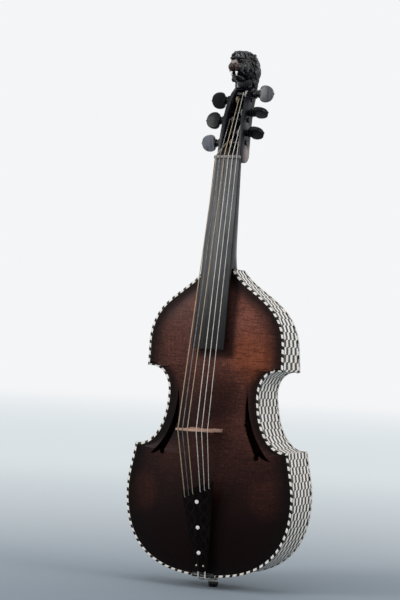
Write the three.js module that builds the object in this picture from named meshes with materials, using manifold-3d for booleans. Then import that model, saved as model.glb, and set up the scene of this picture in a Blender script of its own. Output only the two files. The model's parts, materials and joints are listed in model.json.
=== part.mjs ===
// Treble viol with an arched belly, a canted back, six strings and a carved lion's head, in millimetres.
// +Z runs up the strings, the belly faces -Y, and zero is the centre of the end button's flat foot.
import * as THREE from "three";
import { mergeVertices } from "three/addons/utils/BufferGeometryUtils.js";
import Module from "manifold-3d";

const wasm = await Module();
wasm.setup();

// Clearances
const GAP = 0.3;
const WINDING_GAP = 0.45;
const WELD = 0.001;
const OVERRUN = 20;

// Body outline: half widths, and heights above its lower edge
const LOWER_HALF = 110.8;
const LOWER_Z = 99;
const LOWER_CORNER_HALF = 102;
const LOWER_CORNER_Z = 157;
const WAIST_HALF = 60.2;
const WAIST_Z = 222;
const UPPER_CORNER_HALF = 90.4;
const UPPER_CORNER_Z = 252.5;
const UPPER_HALF = 90;
const UPPER_Z = 279;
const ROOT_HALF = 19;
const BODY_LENGTH = 375;
const OUTLINE_STEPS = { bottom: 9, flank: 3, lowerBay: 6, upperBay: 5, upperSide: 1, shoulder: 8 };
// How far each curve's handles reach, as shares of the curve's own span
const PULL_SHARES = {
  bottomAcross: 0.65,
  bottomUp: 0.68,
  flank: 0.38,
  flankEnd: 0.17,
  bayIn: 0.58,
  bayDip: 0.045,
  bayDown: 0.6,
  bayUp: 0.63,
  bayOut: 0.62,
  bayRise: 0.08,
  shoulderUp: 0.62,
  shoulderAcross: 0.29,
  shoulderDown: 0.33,
};

// Plates, ribs and the bent back
const BELLY_T = 3.2;
const BACK_T = 3;
const ARCH = 13;
const ARCH_MARGIN = 8;
const ARCH_POWER = 1.4;
const ARCH_RING_SHARES = [0.3, 0.62, 1];
const SPINE_LOW_Z = 64;
const SPINE_HIGH_Z = 316;
const SPINE_JOINT_SHARES = [0, 0.2, 0.3, 0.58, 0.77, 0.84, 1];
const SPINE_SWELL_SHARE = 0.16;
const DEPTH = 66;
const BEND_Z = 205;
const ROOT_DEPTH = 36;
const OVERHANG = 1;
const RIB_T = 2;
const EDGING_W = 2.8;

// Inside the body
const LINING_T = 3;
const LINING_H = 8;
const CORNER_BLOCK_REACH = 24;
const NECK_BLOCK_HALF = 24;
const NECK_BLOCK_L = 24;
const END_BLOCK_HALF = 24;
const END_BLOCK_L = 15;
const BAR_T = 5;
const BAR_X = -16;
const BAR_LOW_Z = 66;
const BAR_HIGH_Z = 312;
const BAR_DEEP = 13;
const BAR_TIP_DEEP = 4;
const POST_R = 3;
const POST_X = 16;
const POST_DROP = 9;
const BOARD_T = 2.6;
const BOARD_HALF_L = 19;
const BRACE_T = 8;
const BRACE_HALF_L = 4.5;
const LOWER_BRACE_Z = 84;

// Soundholes, as the box that each one fills
const HOLE_TOP_X = 46.5;
const HOLE_TOP_Z = 227;
const HOLE_TIP_X = 80;
const HOLE_TIP_Z = 144.5;
const HOLE_LOBE_R = 3.4;
const HOLE_STEPS = 6;
const HOLE_SHARES = {
  outer: [0.01, 0.67, 0.22, 0.29],
  tipUnder: [0.73, 0.012, 0.567, 0.069],
  lobe: [0.475, 0.046],
  lobeLeave: [0.39, 0.075],
  innerLow: [0.12, 0.27, -0.02, 0.42, -0.045, 0.485],
  nick: [-0.1, 0.503, -0.06, 0.524],
  innerHigh: [-0.1, 0.7, -0.09, 0.87],
};
const LOBE_START_TURN = 0.09;
const LOBE_END_TURN = 0.42;

// Neck, from the body to the nut
const NECK_FRONT_LOW = 0.6;
const NECK_FRONT_HIGH = 9.2;
const NECK_BACK = 22;
const NECK_HALF_LOW = 18;
const NECK_HALF_HIGH = 16.4;
const NECK_HEEL_HALF = 15.5;
const HEEL_L = 34;
const HEEL_POWER = 2.4;
const NECK_RING_SHARES = [0, 0.03, 0.075, 0.13, 0.19, 0.25, 0.6, 1];
const NECK_ARC_STEPS = 8;
const NECK_ROUND_POWER = 0.72;

// Nut and fingerboard
const NUT_Z = 510;
const NUT_L = 3.8;
const NUT_TOP = 3.2;
const NUT_DROP = 0.9;
const NUT_HALF = 17;
const FINGERBOARD_END_Z = 276;
const FINGERBOARD_END_Y = -24.6;
const FINGERBOARD_END_HALF = 21.2;
const FINGERBOARD_DROP = 2.6;
const FINGERBOARD_T = 5.4;
const ACTION_AT_NUT = 0.9;
const FINGERBOARD_ARC_STEPS = 6;

// Pegbox, cut in one with the neck
const PEGBOX_FOOT_Z = 506;
const PEGBOX_TOP_Z = 604;
const PEGBOX_FRONT_LOW = 11.5;
const PEGBOX_FRONT_TOP = 47;
const PEGBOX_BACK_TOP = 62.5;
const PEGBOX_HEEL_Y = 37;
const PEGBOX_HEEL_Z = 524;
const PEGBOX_HALF_LOW = 16.6;
const PEGBOX_HALF_TOP = 12.6;
const CHEEK_T = 4.4;
const CAVITY_FLOOR_T = 4;
const CAVITY_LOW_Z = 516;
const CAVITY_HIGH_Z = 601;
const PEGBOX_CURVE_STEPS = 8;
const PEGBOX_FRONT_SHARES = [0.09, 0.36, 0.23, 0.8];
const PEGBOX_BACK_SHARES = [0.2, 0.38, 0.36, 0.68];

// Pegs: shaft, collar, flat thumb piece and pip
const PEG_R = 3.75;
const PEG_TIP_R = 3;
const PEG_SIDES = 14;
const PEG_PROUD = 1.6;
const COLLAR_GAP = 2.2;
const COLLAR_R = 5.6;
const COLLAR_SHARES = [
  [0, 0.68],
  [0.1, 1],
  [0.32, 1],
  [0.42, 0.74],
  [0.55, 0.66],
  [0.66, 0.9],
  [0.84, 0.9],
  [1, 0.6],
];
const THUMB_H = 21;
const THUMB_L = 17;
const THUMB_T = 5.6;
const THUMB_STEPS = 5;
const THUMB_SHARES = { notch: 0.3, crest: 0.36, crown: 0.6 };
const THUMB_SINK = 1.2;
const PIP_R = 1.5;
const THUMB_PLACE = 35.3;
// Each peg's place in the pegbox, its thumb piece's place and its string's, as shares, and its turn
const PEG_SHARES = [
  { side: -1, across: 0.304, along: 0.265, head: 1, slot: 0.638, way: -1, turn: 0.04 },
  { side: -1, across: 0.402, along: 0.561, head: 0.935, slot: 0.845, way: -1, turn: -0.02 },
  { side: -1, across: 0.604, along: 0.833, head: 0.895, slot: 0.26, way: 1, turn: 0.03 },
  { side: 1, across: 0.657, along: 0.912, head: 0.912, slot: 0.269, way: 1, turn: 0 },
  { side: 1, across: 0.473, along: 0.659, head: 0.839, slot: 0.85, way: -1, turn: 0.19 },
  { side: 1, across: 0.333, along: 0.392, head: 0.805, slot: 0.696, way: -1, turn: 0.17 },
];

// Strings, from the lowest on the left to the highest on the right
const BASS_STRING_R = 0.62;
const STRING_RADIUS_SHARES = [1, 0.92, 0.84, 0.76, 0.68, 0.6];
const NUT_SPREAD = 13.8;
const NUT_STRING_SHARES = [-1, -0.6, -0.2, 0.2, 0.6, 1];
const STRING_SIDES = 8;
const WINDING_TURNS = 2;
const WINDING_STEPS = 24;
const WINDING_SIDES = 6;

// Bridge
const BRIDGE_Z = 178.5;
const BRIDGE_TOP = 55.8;
const BRIDGE_FALL = 7.2;
const BRIDGE_HALF = 24.6;
const BRIDGE_CROWN_T = 2.2;
const BRIDGE_FOOT_T = 4.4;
const BRIDGE_FOOT_HALF = 20;
const BRIDGE_FOOT_W = 11;
const BRIDGE_FOOT_H = 5;
const BRIDGE_SPREAD = 20.2;
const BRIDGE_STRING_SHARES = [-1, -0.64, -0.29, 0.29, 0.61, 0.93];
const BRIDGE_SIDE_SHARES = [
  [0.98, 0.83],
  [0.9, 0.76],
  [0.72, 0.7],
  [0.63, 0.58],
  [0.65, 0.45],
  [0.74, 0.37],
];
const BRIDGE_ARCH_SHARES = [
  [0.31, 0.37],
  [0.2, 0.43],
  [0.07, 0.46],
];
const BRIDGE_HEART_SHARES = [
  [0, 0.54],
  [0.14, 0.64],
  [0.17, 0.7],
  [0.1, 0.75],
  [0, 0.71],
];

// Tailpiece, saddle, tailgut and end button
const TAIL_LOW_Z = 8;
const TAIL_LOW_Y = -13.4;
const TAIL_HIGH_Z = 111;
const TAIL_HIGH_Y = -34.8;
const TAIL_SKEW = 8;
const TAIL_HALF_LOW = 8.6;
const TAIL_HALF_HIGH = 21;
const TAIL_RIDGE = 3.6;
const TAIL_T = 3.8;
const TAIL_HOLLOW_SHARE = 0.4;
const TAIL_RING_SHARES = [0, 0.04, 0.45, 0.8, 1];
const TAIL_LOW_ROUND_SHARE = 0.72;
const TAIL_HOLE_R = 1.5;
const TAIL_HOLE_SETBACK = 8;
const TAIL_SPREAD_SHARE = 0.8;
const GUT_HOLE_SETBACK = 7;
const GUT_HOLE_X = 4.4;
const GUT_R = 1;
const GUT_HOLE_R = 2.1;
const SADDLE_HALF = 14;
const SADDLE_TOP = 4.6;
const SADDLE_SEAT = 2;
const SADDLE_L = 5.5;
const BUTTON_DEPTH = 30;
const BUTTON_DROP = 14.5;
const BUTTON_FOOT_R = 5.2;
const BUTTON_NECK_R = 3.6;
const BUTTON_STEM_R = 3.2;
const BUTTON_STEM_L = 13;
const BUTTON_GROOVE_SHARE = 0.25;
const BUTTON_SIDES = 20;
const BUTTON_SHARES = [
  [0.04, 1.3],
  [0.12, 1.3],
  [0.16, 1],
  [0.34, 1],
  [0.38, 1.5],
  [0.5, 1.72],
  [0.72, 1.78],
  [0.9, 1.6],
];

// Lion's head
const HEAD_Y = 47;
const HEAD_Z = 629.5;
const HEAD_HALF = 17;
const HEAD_REACH = 22;
const HEAD_RISE = 21;
const HEAD_SEAT_HALF = 10.5;
const HEAD_SEAT_FRONT = 46;
const HEAD_SEAT_BACK = 62;
const FACE_SIDES = 10;
const FACE_RINGS = 6;
const LOCK_W = 4.4;
const LOCK_L = 7.4;
const LOCK_T = 3.2;
const LOCK_ROWS = 4;
const LOCKS_PER_ROW = 9;
const LOCK_SIDES = 6;
const LOCK_RINGS = 3;
// Each lump's middle and half sizes, as shares of the head's, and its tilt
const LION_SHARES = [
  [[0, 0.05, 0.02], [0.94, 0.95, 0.93], 0],
  [[0, -0.73, 0], [0.74, 0.59, 0.71], 0],
  [[0, -1.07, -0.17], [0.59, 0.57, 0.34], 0.04],
  [[0, -1.52, 0.04], [0.26, 0.18, 0.16], 0],
  [[0, -1.09, 0.46], [0.54, 0.3, 0.24], 0.05],
  [[0, -0.82, -0.83], [0.48, 0.68, 0.2], -0.02],
  [[0, -1.55, -0.95], [0.2, 0.19, 0.18], 0],
  [[0, 0.36, -0.79], [0.82, 0.64, 0.67], 0],
];
const MOUTH_SHARES = [[0, -1.4, -0.6], [0.42, 0.42, 0.1], 0.01];
const EYE_SHARES = [0.36, -1.22, 0.26];
const EYE_SIZE_SHARES = [0.15, 0.1, 0.1];
const EAR_SHARES = [0.66, -0.1, 0.62];
const EAR_SIZE_SHARES = [0.27, 0.17, 0.25];
const MANE_SHARES = [0.92, 0.95, 0.87];
const MANE_ROW_SHARES = [-0.45, 0.88];
const MANE_ARC_SHARES = [-0.33, 1.33];
const MANE_DROOP_SHARE = 0.5;

// Surface finishes
const VARNISH = { color: 0x4a1d12, roughness: 0.42, metalness: 0 };
const CHEQUER = { color: 0x8d887d, roughness: 0.5, metalness: 0 };
const EDGE_BLOCKS = { color: 0x9a948a, roughness: 0.45, metalness: 0 };
const EBONY = { color: 0x15131a, roughness: 0.35, metalness: 0 };
const BLACKENED = { color: 0x1c1717, roughness: 0.45, metalness: 0 };
const SPRUCE = { color: 0xb98d58, roughness: 0.75, metalness: 0 };
const BRIDGE_WOOD = { color: 0xb9825a, roughness: 0.6, metalness: 0 };
const GUT = { color: 0xc9b48c, roughness: 0.45, metalness: 0 };
const WOUND = { color: 0x6f6860, roughness: 0.4, metalness: 0.6 };

const viol = new THREE.Group();
viol.position.set(0, -BUTTON_DEPTH, BUTTON_DROP);

// A geometry's solid: its vertices merged, its faces turned outwards
function toSolid(geometry) {
  const flat = geometry.index ? geometry.toNonIndexed() : geometry;
  const bare = new THREE.BufferGeometry();
  bare.setAttribute("position", flat.getAttribute("position").clone());
  const merged = mergeVertices(bare, WELD);
  const corners = merged.index.array;
  const kept = [];
  for (let i = 0; i < corners.length; i += 3) {
    const [a, b, c] = corners.subarray(i, i + 3);
    if (a !== b && b !== c && c !== a) kept.push([a, b, c]);
  }
  const vertProperties = merged.attributes.position.array;
  const build = (faces) => {
    const triVerts = new Uint32Array(faces.flat());
    return new wasm.Manifold(new wasm.Mesh({ numProp: 3, vertProperties, triVerts }));
  };
  const made = build(kept);
  return made.volume() < 0 ? build(kept.map(([a, b, c]) => [a, c, b])) : made;
}

// A solid as a named mesh with its own finish
function addPiece(group, name, solid, finish) {
  const made = solid.getMesh();
  const geometry = new THREE.BufferGeometry();
  geometry.setAttribute("position", new THREE.BufferAttribute(made.vertProperties, made.numProp));
  geometry.setIndex(new THREE.BufferAttribute(made.triVerts, 1));
  geometry.computeVertexNormals();
  const mesh = new THREE.Mesh(geometry, new THREE.MeshStandardMaterial(finish));
  mesh.name = name;
  group.add(mesh);
  return mesh;
}

const at = (x, y) => new THREE.Vector2(x, y);
const mix = THREE.MathUtils.lerp;

// Prisms: points are [x, z], [y, z] and [x, y]
function prismAlongY(points, low, high) {
  const shape = points instanceof THREE.Shape ? points : new THREE.Shape(points);
  const options = { depth: high - low, bevelEnabled: false, curveSegments: HOLE_STEPS };
  const geometry = new THREE.ExtrudeGeometry(shape, options);
  geometry.rotateX(Math.PI / 2);
  geometry.translate(0, high, 0);
  return toSolid(geometry);
}

function prismAlongX(points, low, high) {
  const options = { depth: high - low, bevelEnabled: false };
  const geometry = new THREE.ExtrudeGeometry(new THREE.Shape(points), options);
  const yAxis = new THREE.Vector3(0, 1, 0);
  const zAxis = new THREE.Vector3(0, 0, 1);
  const xAxis = new THREE.Vector3(1, 0, 0);
  geometry.applyMatrix4(new THREE.Matrix4().makeBasis(yAxis, zAxis, xAxis));
  geometry.translate(low, 0, 0);
  return toSolid(geometry);
}

function prismAlongZ(points, low, high) {
  const options = { depth: high - low, bevelEnabled: false };
  const geometry = new THREE.ExtrudeGeometry(new THREE.Shape(points), options);
  geometry.translate(0, 0, low);
  return toSolid(geometry);
}

function block(xLow, xHigh, yLow, yHigh, zLow, zHigh) {
  const geometry = new THREE.BoxGeometry(xHigh - xLow, yHigh - yLow, zHigh - zLow);
  geometry.translate((xLow + xHigh) / 2, (yLow + yHigh) / 2, (zLow + zHigh) / 2);
  return toSolid(geometry);
}

function rodAlongX(radius, low, high, y, z, sides) {
  const geometry = new THREE.CylinderGeometry(radius, radius, high - low, sides);
  geometry.rotateZ(Math.PI / 2);
  geometry.translate((low + high) / 2, y, z);
  return toSolid(geometry);
}

// A skin over closed sections of as many points each, with a fan over each end
function loft(rings) {
  const corners = [];
  const count = rings[0].length;
  for (let r = 0; r + 1 < rings.length; r++) {
    for (let i = 0; i < count; i++) {
      const j = (i + 1) % count;
      corners.push(rings[r][i], rings[r][j], rings[r + 1][j]);
      corners.push(rings[r][i], rings[r + 1][j], rings[r + 1][i]);
    }
  }
  const last = rings.length - 1;
  const middles = [0, last].map((r) =>
    rings[r].reduce((sum, p) => sum.add(p), new THREE.Vector3()).divideScalar(count),
  );
  for (let i = 0; i < count; i++) {
    const j = (i + 1) % count;
    corners.push(middles[0], rings[0][j], rings[0][i]);
    corners.push(middles[1], rings[last][i], rings[last][j]);
  }
  return toSolid(new THREE.BufferGeometry().setFromPoints(corners));
}

// Body outline

// Right half from the bottom centre to the neck root, with each point's share of the arch's spine
function rightOutline() {
  const s = PULL_SHARES;
  const n = OUTLINE_STEPS;
  const flankH = LOWER_CORNER_Z - LOWER_Z;
  const lowBayW = LOWER_CORNER_HALF - WAIST_HALF;
  const lowBayH = WAIST_Z - LOWER_CORNER_Z;
  const highBayW = UPPER_CORNER_HALF - WAIST_HALF;
  const highBayH = UPPER_CORNER_Z - WAIST_Z;
  const shoulderW = UPPER_HALF - ROOT_HALF;
  const shoulderH = BODY_LENGTH - UPPER_Z;
  const lowerCorner = at(LOWER_CORNER_HALF, LOWER_CORNER_Z);
  const waist = at(WAIST_HALF, WAIST_Z);
  const upperCorner = at(UPPER_CORNER_HALF, UPPER_CORNER_Z);
  const lower = at(LOWER_HALF, LOWER_Z);
  const upper = at(UPPER_HALF, UPPER_Z);
  const stretches = [
    [at(0, 0), at(LOWER_HALF * s.bottomAcross, 0), at(LOWER_HALF, LOWER_Z * (1 - s.bottomUp)), lower],
    [
      lower,
      at(LOWER_HALF, LOWER_Z + flankH * s.flank),
      at(LOWER_CORNER_HALF, LOWER_CORNER_Z - flankH * s.flankEnd),
      lowerCorner,
    ],
    [
      lowerCorner,
      at(LOWER_CORNER_HALF - lowBayW * s.bayIn, LOWER_CORNER_Z - lowBayH * s.bayDip),
      at(WAIST_HALF, WAIST_Z - lowBayH * s.bayDown),
      waist,
    ],
    [
      waist,
      at(WAIST_HALF, WAIST_Z + highBayH * s.bayUp),
      at(UPPER_CORNER_HALF - highBayW * s.bayOut, UPPER_CORNER_Z + highBayH * s.bayRise),
      upperCorner,
    ],
    [upperCorner, upperCorner, upper, upper],
    [
      upper,
      at(UPPER_HALF, UPPER_Z + shoulderH * s.shoulderUp),
      at(ROOT_HALF + shoulderW * s.shoulderAcross, BODY_LENGTH - shoulderH * s.shoulderDown),
      at(ROOT_HALF, BODY_LENGTH),
    ],
  ];
  const steps = [n.bottom, n.flank, n.lowerBay, n.upperBay, n.upperSide, n.shoulder];
  const points = [];
  const spineShares = [];
  stretches.forEach(([a, b, c, d], k) => {
    const curve = new THREE.CubicBezierCurve(a, b, c, d);
    for (let i = k ? 1 : 0; i <= steps[k]; i++) {
      points.push(curve.getPoint(i / steps[k]));
      spineShares.push(mix(SPINE_JOINT_SHARES[k], SPINE_JOINT_SHARES[k + 1], i / steps[k]));
    }
  });
  return { points, spineShares };
}

const rightHalf = rightOutline();
const halfCount = rightHalf.points.length;
const mirroredShares = rightHalf.spineShares.slice(1).reverse();
const outline = [...rightHalf.points, ...rightHalf.points.slice(1).reverse().map((p) => at(-p.x, p.y))];
const spineShares = [...rightHalf.spineShares, ...mirroredShares];

// The outline moved inwards by one distance, mitred at its corners
function inset(distance) {
  const count = outline.length;
  return outline.map((p, i) => {
    const before = p.clone().sub(outline[(i + count - 1) % count]).normalize();
    const after = outline[(i + 1) % count].clone().sub(p).normalize();
    const across = at(-before.y - after.y, before.x + after.x);
    return p.clone().addScaledVector(across, distance / (1 + before.dot(after)));
  });
}

// The back's outer face at a height
function backY(z) {
  const slope = (DEPTH - ROOT_DEPTH) / (BODY_LENGTH - BEND_Z);
  return DEPTH - Math.max(0, z - BEND_Z) * slope;
}

// The layer between two depths inside the back's outer face
function backLayer(outer, inner) {
  const low = -OVERRUN;
  const high = BODY_LENGTH + OVERRUN;
  const points = [
    at(DEPTH - inner, low),
    at(DEPTH - outer, low),
    at(DEPTH - outer, BEND_Z),
    at(backY(high) - outer, high),
    at(backY(high) - inner, high),
    at(DEPTH - inner, BEND_Z),
  ];
  return prismAlongX(points, -LOWER_HALF - OVERRUN, LOWER_HALF + OVERRUN);
}

// A body under the arch: its arched face lies at rimY at the rim, its other face where floorY says
function archedBody(rim, rimY, floorY) {
  const rings = [rim];
  const spine = spineShares.map((share) => at(0, mix(SPINE_LOW_Z, SPINE_HIGH_Z, share)));
  const margin = rim.map((p, i) => {
    const inwards = spine[i].clone().sub(p);
    return p.clone().addScaledVector(inwards, ARCH_MARGIN / inwards.length());
  });
  const swell = spineShares.map((share) => 1 - SPINE_SWELL_SHARE * (1 - Math.sin(Math.PI * share)));
  const rises = [spine.map(() => 0), spine.map(() => 0)];
  rings.push(margin);
  ARCH_RING_SHARES.forEach((share) => {
    rings.push(margin.map((p, i) => p.clone().lerp(spine[i], share)));
    const rise = ARCH * Math.sin((Math.PI / 2) * share) ** ARCH_POWER;
    rises.push(swell.map((s) => rise * s));
  });
  const face = (side) =>
    rings.map((ring, r) =>
      ring.map((p, i) => {
        const y = rimY - rises[r][i];
        return new THREE.Vector3(p.x, side ? floorY(y) : y, p.y);
      }),
    );
  const front = face(0);
  const back = face(1);
  const corners = [];
  const quad = (a, b, c, d) => corners.push(a, b, c, a, c, d);
  for (let i = 0; i < rim.length; i++) {
    const j = (i + 1) % rim.length;
    quad(front[0][i], back[0][i], back[0][j], front[0][j]);
    for (let r = 0; r + 1 < rings.length; r++) {
      quad(front[r][j], front[r + 1][j], front[r + 1][i], front[r][i]);
      quad(back[r][i], back[r + 1][i], back[r + 1][j], back[r][j]);
    }
  }
  return toSolid(new THREE.BufferGeometry().setFromPoints(corners));
}

// Inner volumes that the pieces inside are cut to
const ribOuter = inset(OVERHANG);
const ribInner = inset(OVERHANG + RIB_T);
const liningOuter = inset(OVERHANG + RIB_T + GAP);
const liningInner = inset(OVERHANG + RIB_T + GAP + LINING_T);
const boardEdge = inset(OVERHANG + RIB_T + LINING_T + 2 * GAP);
const behindBack = backLayer(-DEPTH, BACK_T + GAP);
const innerFront = BELLY_T + GAP;
const room = prismAlongY(liningOuter, innerFront, DEPTH).subtract(behindBack);
const boardRoom = prismAlongY(boardEdge, innerFront, DEPTH).subtract(behindBack);
const plateRim = inset(EDGING_W + GAP);
const underArch = archedBody(plateRim, innerFront, () => DEPTH);
const overArch = archedBody(plateRim, -GAP, () => DEPTH);

// Belly, back and the edging let in round them

function soundHole() {
  const s = HOLE_SHARES;
  const x = (share) => mix(HOLE_TOP_X, HOLE_TIP_X, share);
  const z = (share) => mix(HOLE_TIP_Z, HOLE_TOP_Z, share);
  const turn = 2 * Math.PI;
  const shape = new THREE.Shape();
  shape.moveTo(x(0), z(1));
  shape.bezierCurveTo(x(s.outer[0]), z(s.outer[1]), x(s.outer[2]), z(s.outer[3]), x(1), z(0));
  shape.quadraticCurveTo(x(s.tipUnder[0]), z(s.tipUnder[1]), x(s.tipUnder[2]), z(s.tipUnder[3]));
  const [lobeX, lobeZ] = [x(s.lobe[0]), z(s.lobe[1])];
  shape.absarc(lobeX, lobeZ, HOLE_LOBE_R, turn * LOBE_START_TURN, turn * LOBE_END_TURN, true);
  shape.lineTo(x(s.lobeLeave[0]), z(s.lobeLeave[1]));
  const low = s.innerLow;
  shape.bezierCurveTo(x(low[0]), z(low[1]), x(low[2]), z(low[3]), x(low[4]), z(low[5]));
  shape.lineTo(x(s.nick[0]), z(s.nick[1]));
  shape.lineTo(x(s.nick[2]), z(s.nick[3]));
  const high = s.innerHigh;
  shape.bezierCurveTo(x(high[0]), z(high[1]), x(high[2]), z(high[3]), x(0), z(1));
  return shape.getPoints(HOLE_STEPS);
}

const saddleSeat = block(
  -SADDLE_HALF - GAP,
  SADDLE_HALF + GAP,
  -OVERRUN,
  SADDLE_SEAT + GAP,
  -OVERRUN,
  SADDLE_L + GAP,
);
const mouthZ = BODY_LENGTH - EDGING_W - GAP;
const mouthHalf = ROOT_HALF - EDGING_W;
const neckMouth = block(-mouthHalf, mouthHalf, -OVERRUN, DEPTH, mouthZ, BODY_LENGTH + OVERRUN);

// The tongue by which a plate runs out between the ends of its edging to the neck
function tongue(front, back) {
  return block(GAP - mouthHalf, mouthHalf - GAP, front, back, mouthZ - GAP, BODY_LENGTH);
}

function buildPlates() {
  const plates = new THREE.Group();
  viol.add(plates);
  const rightHole = soundHole();
  const leftHole = rightHole.map((p) => at(-p.x, p.y)).reverse();
  const belly = [rightHole, leftHole].reduce(
    (plate, hole) => plate.subtract(prismAlongY(hole, -ARCH - OVERRUN, OVERRUN)),
    archedBody(plateRim, 0, (y) => y + BELLY_T).add(tongue(0, BELLY_T)).subtract(saddleSeat),
  );
  addPiece(plates, "top_plate", belly, VARNISH);
  const edgeInner = inset(EDGING_W);
  const edgeBand = prismAlongY(outline, 0, DEPTH + OVERRUN).subtract(
    prismAlongY(edgeInner, -OVERRUN, DEPTH + 2 * OVERRUN),
  );
  const beyond = LOWER_HALF + OVERRUN;
  const behindBelly = block(-beyond, beyond, BELLY_T, DEPTH + 2 * OVERRUN, -OVERRUN, BODY_LENGTH);
  const frontEdging = edgeBand
    .subtract(behindBelly)
    .subtract(neckMouth)
    .subtract(saddleSeat);
  addPiece(plates, "top_edging", frontEdging, EDGE_BLOCKS);
  const backPlate = prismAlongY(plateRim, 0, DEPTH).add(tongue(0, DEPTH)).intersect(backLayer(0, BACK_T));
  addPiece(plates, "back_plate", backPlate, VARNISH);
  addPiece(plates, "back_edging", edgeBand.intersect(backLayer(0, BACK_T)).subtract(neckMouth), EDGE_BLOCKS);
}

// Ribs, blocks, linings, bar, post and braces

const lowerCornerIndex = OUTLINE_STEPS.bottom + OUTLINE_STEPS.flank;
const upperCornerIndex = lowerCornerIndex + OUTLINE_STEPS.lowerBay + OUTLINE_STEPS.upperBay;

// A bent strip between two insets of the outline, from one of its points to another, short of both ends
function strip(outer, inner, first, last, front, back) {
  const trim = (line) => {
    const run = line.slice(first, last + 1);
    const nudge = (end, next) => end.clone().addScaledVector(next.clone().sub(end).normalize(), GAP);
    return [nudge(run[0], run[1]), ...run.slice(1, -1), nudge(run.at(-1), run.at(-2))];
  };
  return prismAlongY([...trim(outer), ...trim(inner).reverse()], front, back);
}

const STRIP_RANGES = [
  ["lower", 0, lowerCornerIndex],
  ["middle", lowerCornerIndex, upperCornerIndex],
  ["upper", upperCornerIndex, halfCount - 1],
];

const mirrorX = (solid) => {
  const made = solid.getMesh();
  const geometry = new THREE.BufferGeometry();
  geometry.setAttribute("position", new THREE.BufferAttribute(made.vertProperties, made.numProp));
  geometry.setIndex(new THREE.BufferAttribute(made.triVerts, 1));
  return toSolid(geometry.scale(-1, 1, 1));
};

const buttonBore = toSolid(
  new THREE.CylinderGeometry(BUTTON_STEM_R + GAP, BUTTON_STEM_R + GAP, 4 * OVERRUN, BUTTON_SIDES)
    .rotateX(Math.PI / 2)
    .translate(0, BUTTON_DEPTH, 0),
);

// A square prism on a body corner, set on its diagonal, that bounds the corner's block
function cornerPrism(x, z, reach) {
  const points = [at(x + reach, z), at(x, z + reach), at(x - reach, z), at(x, z - reach)];
  return prismAlongY(points, 0, DEPTH);
}

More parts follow.
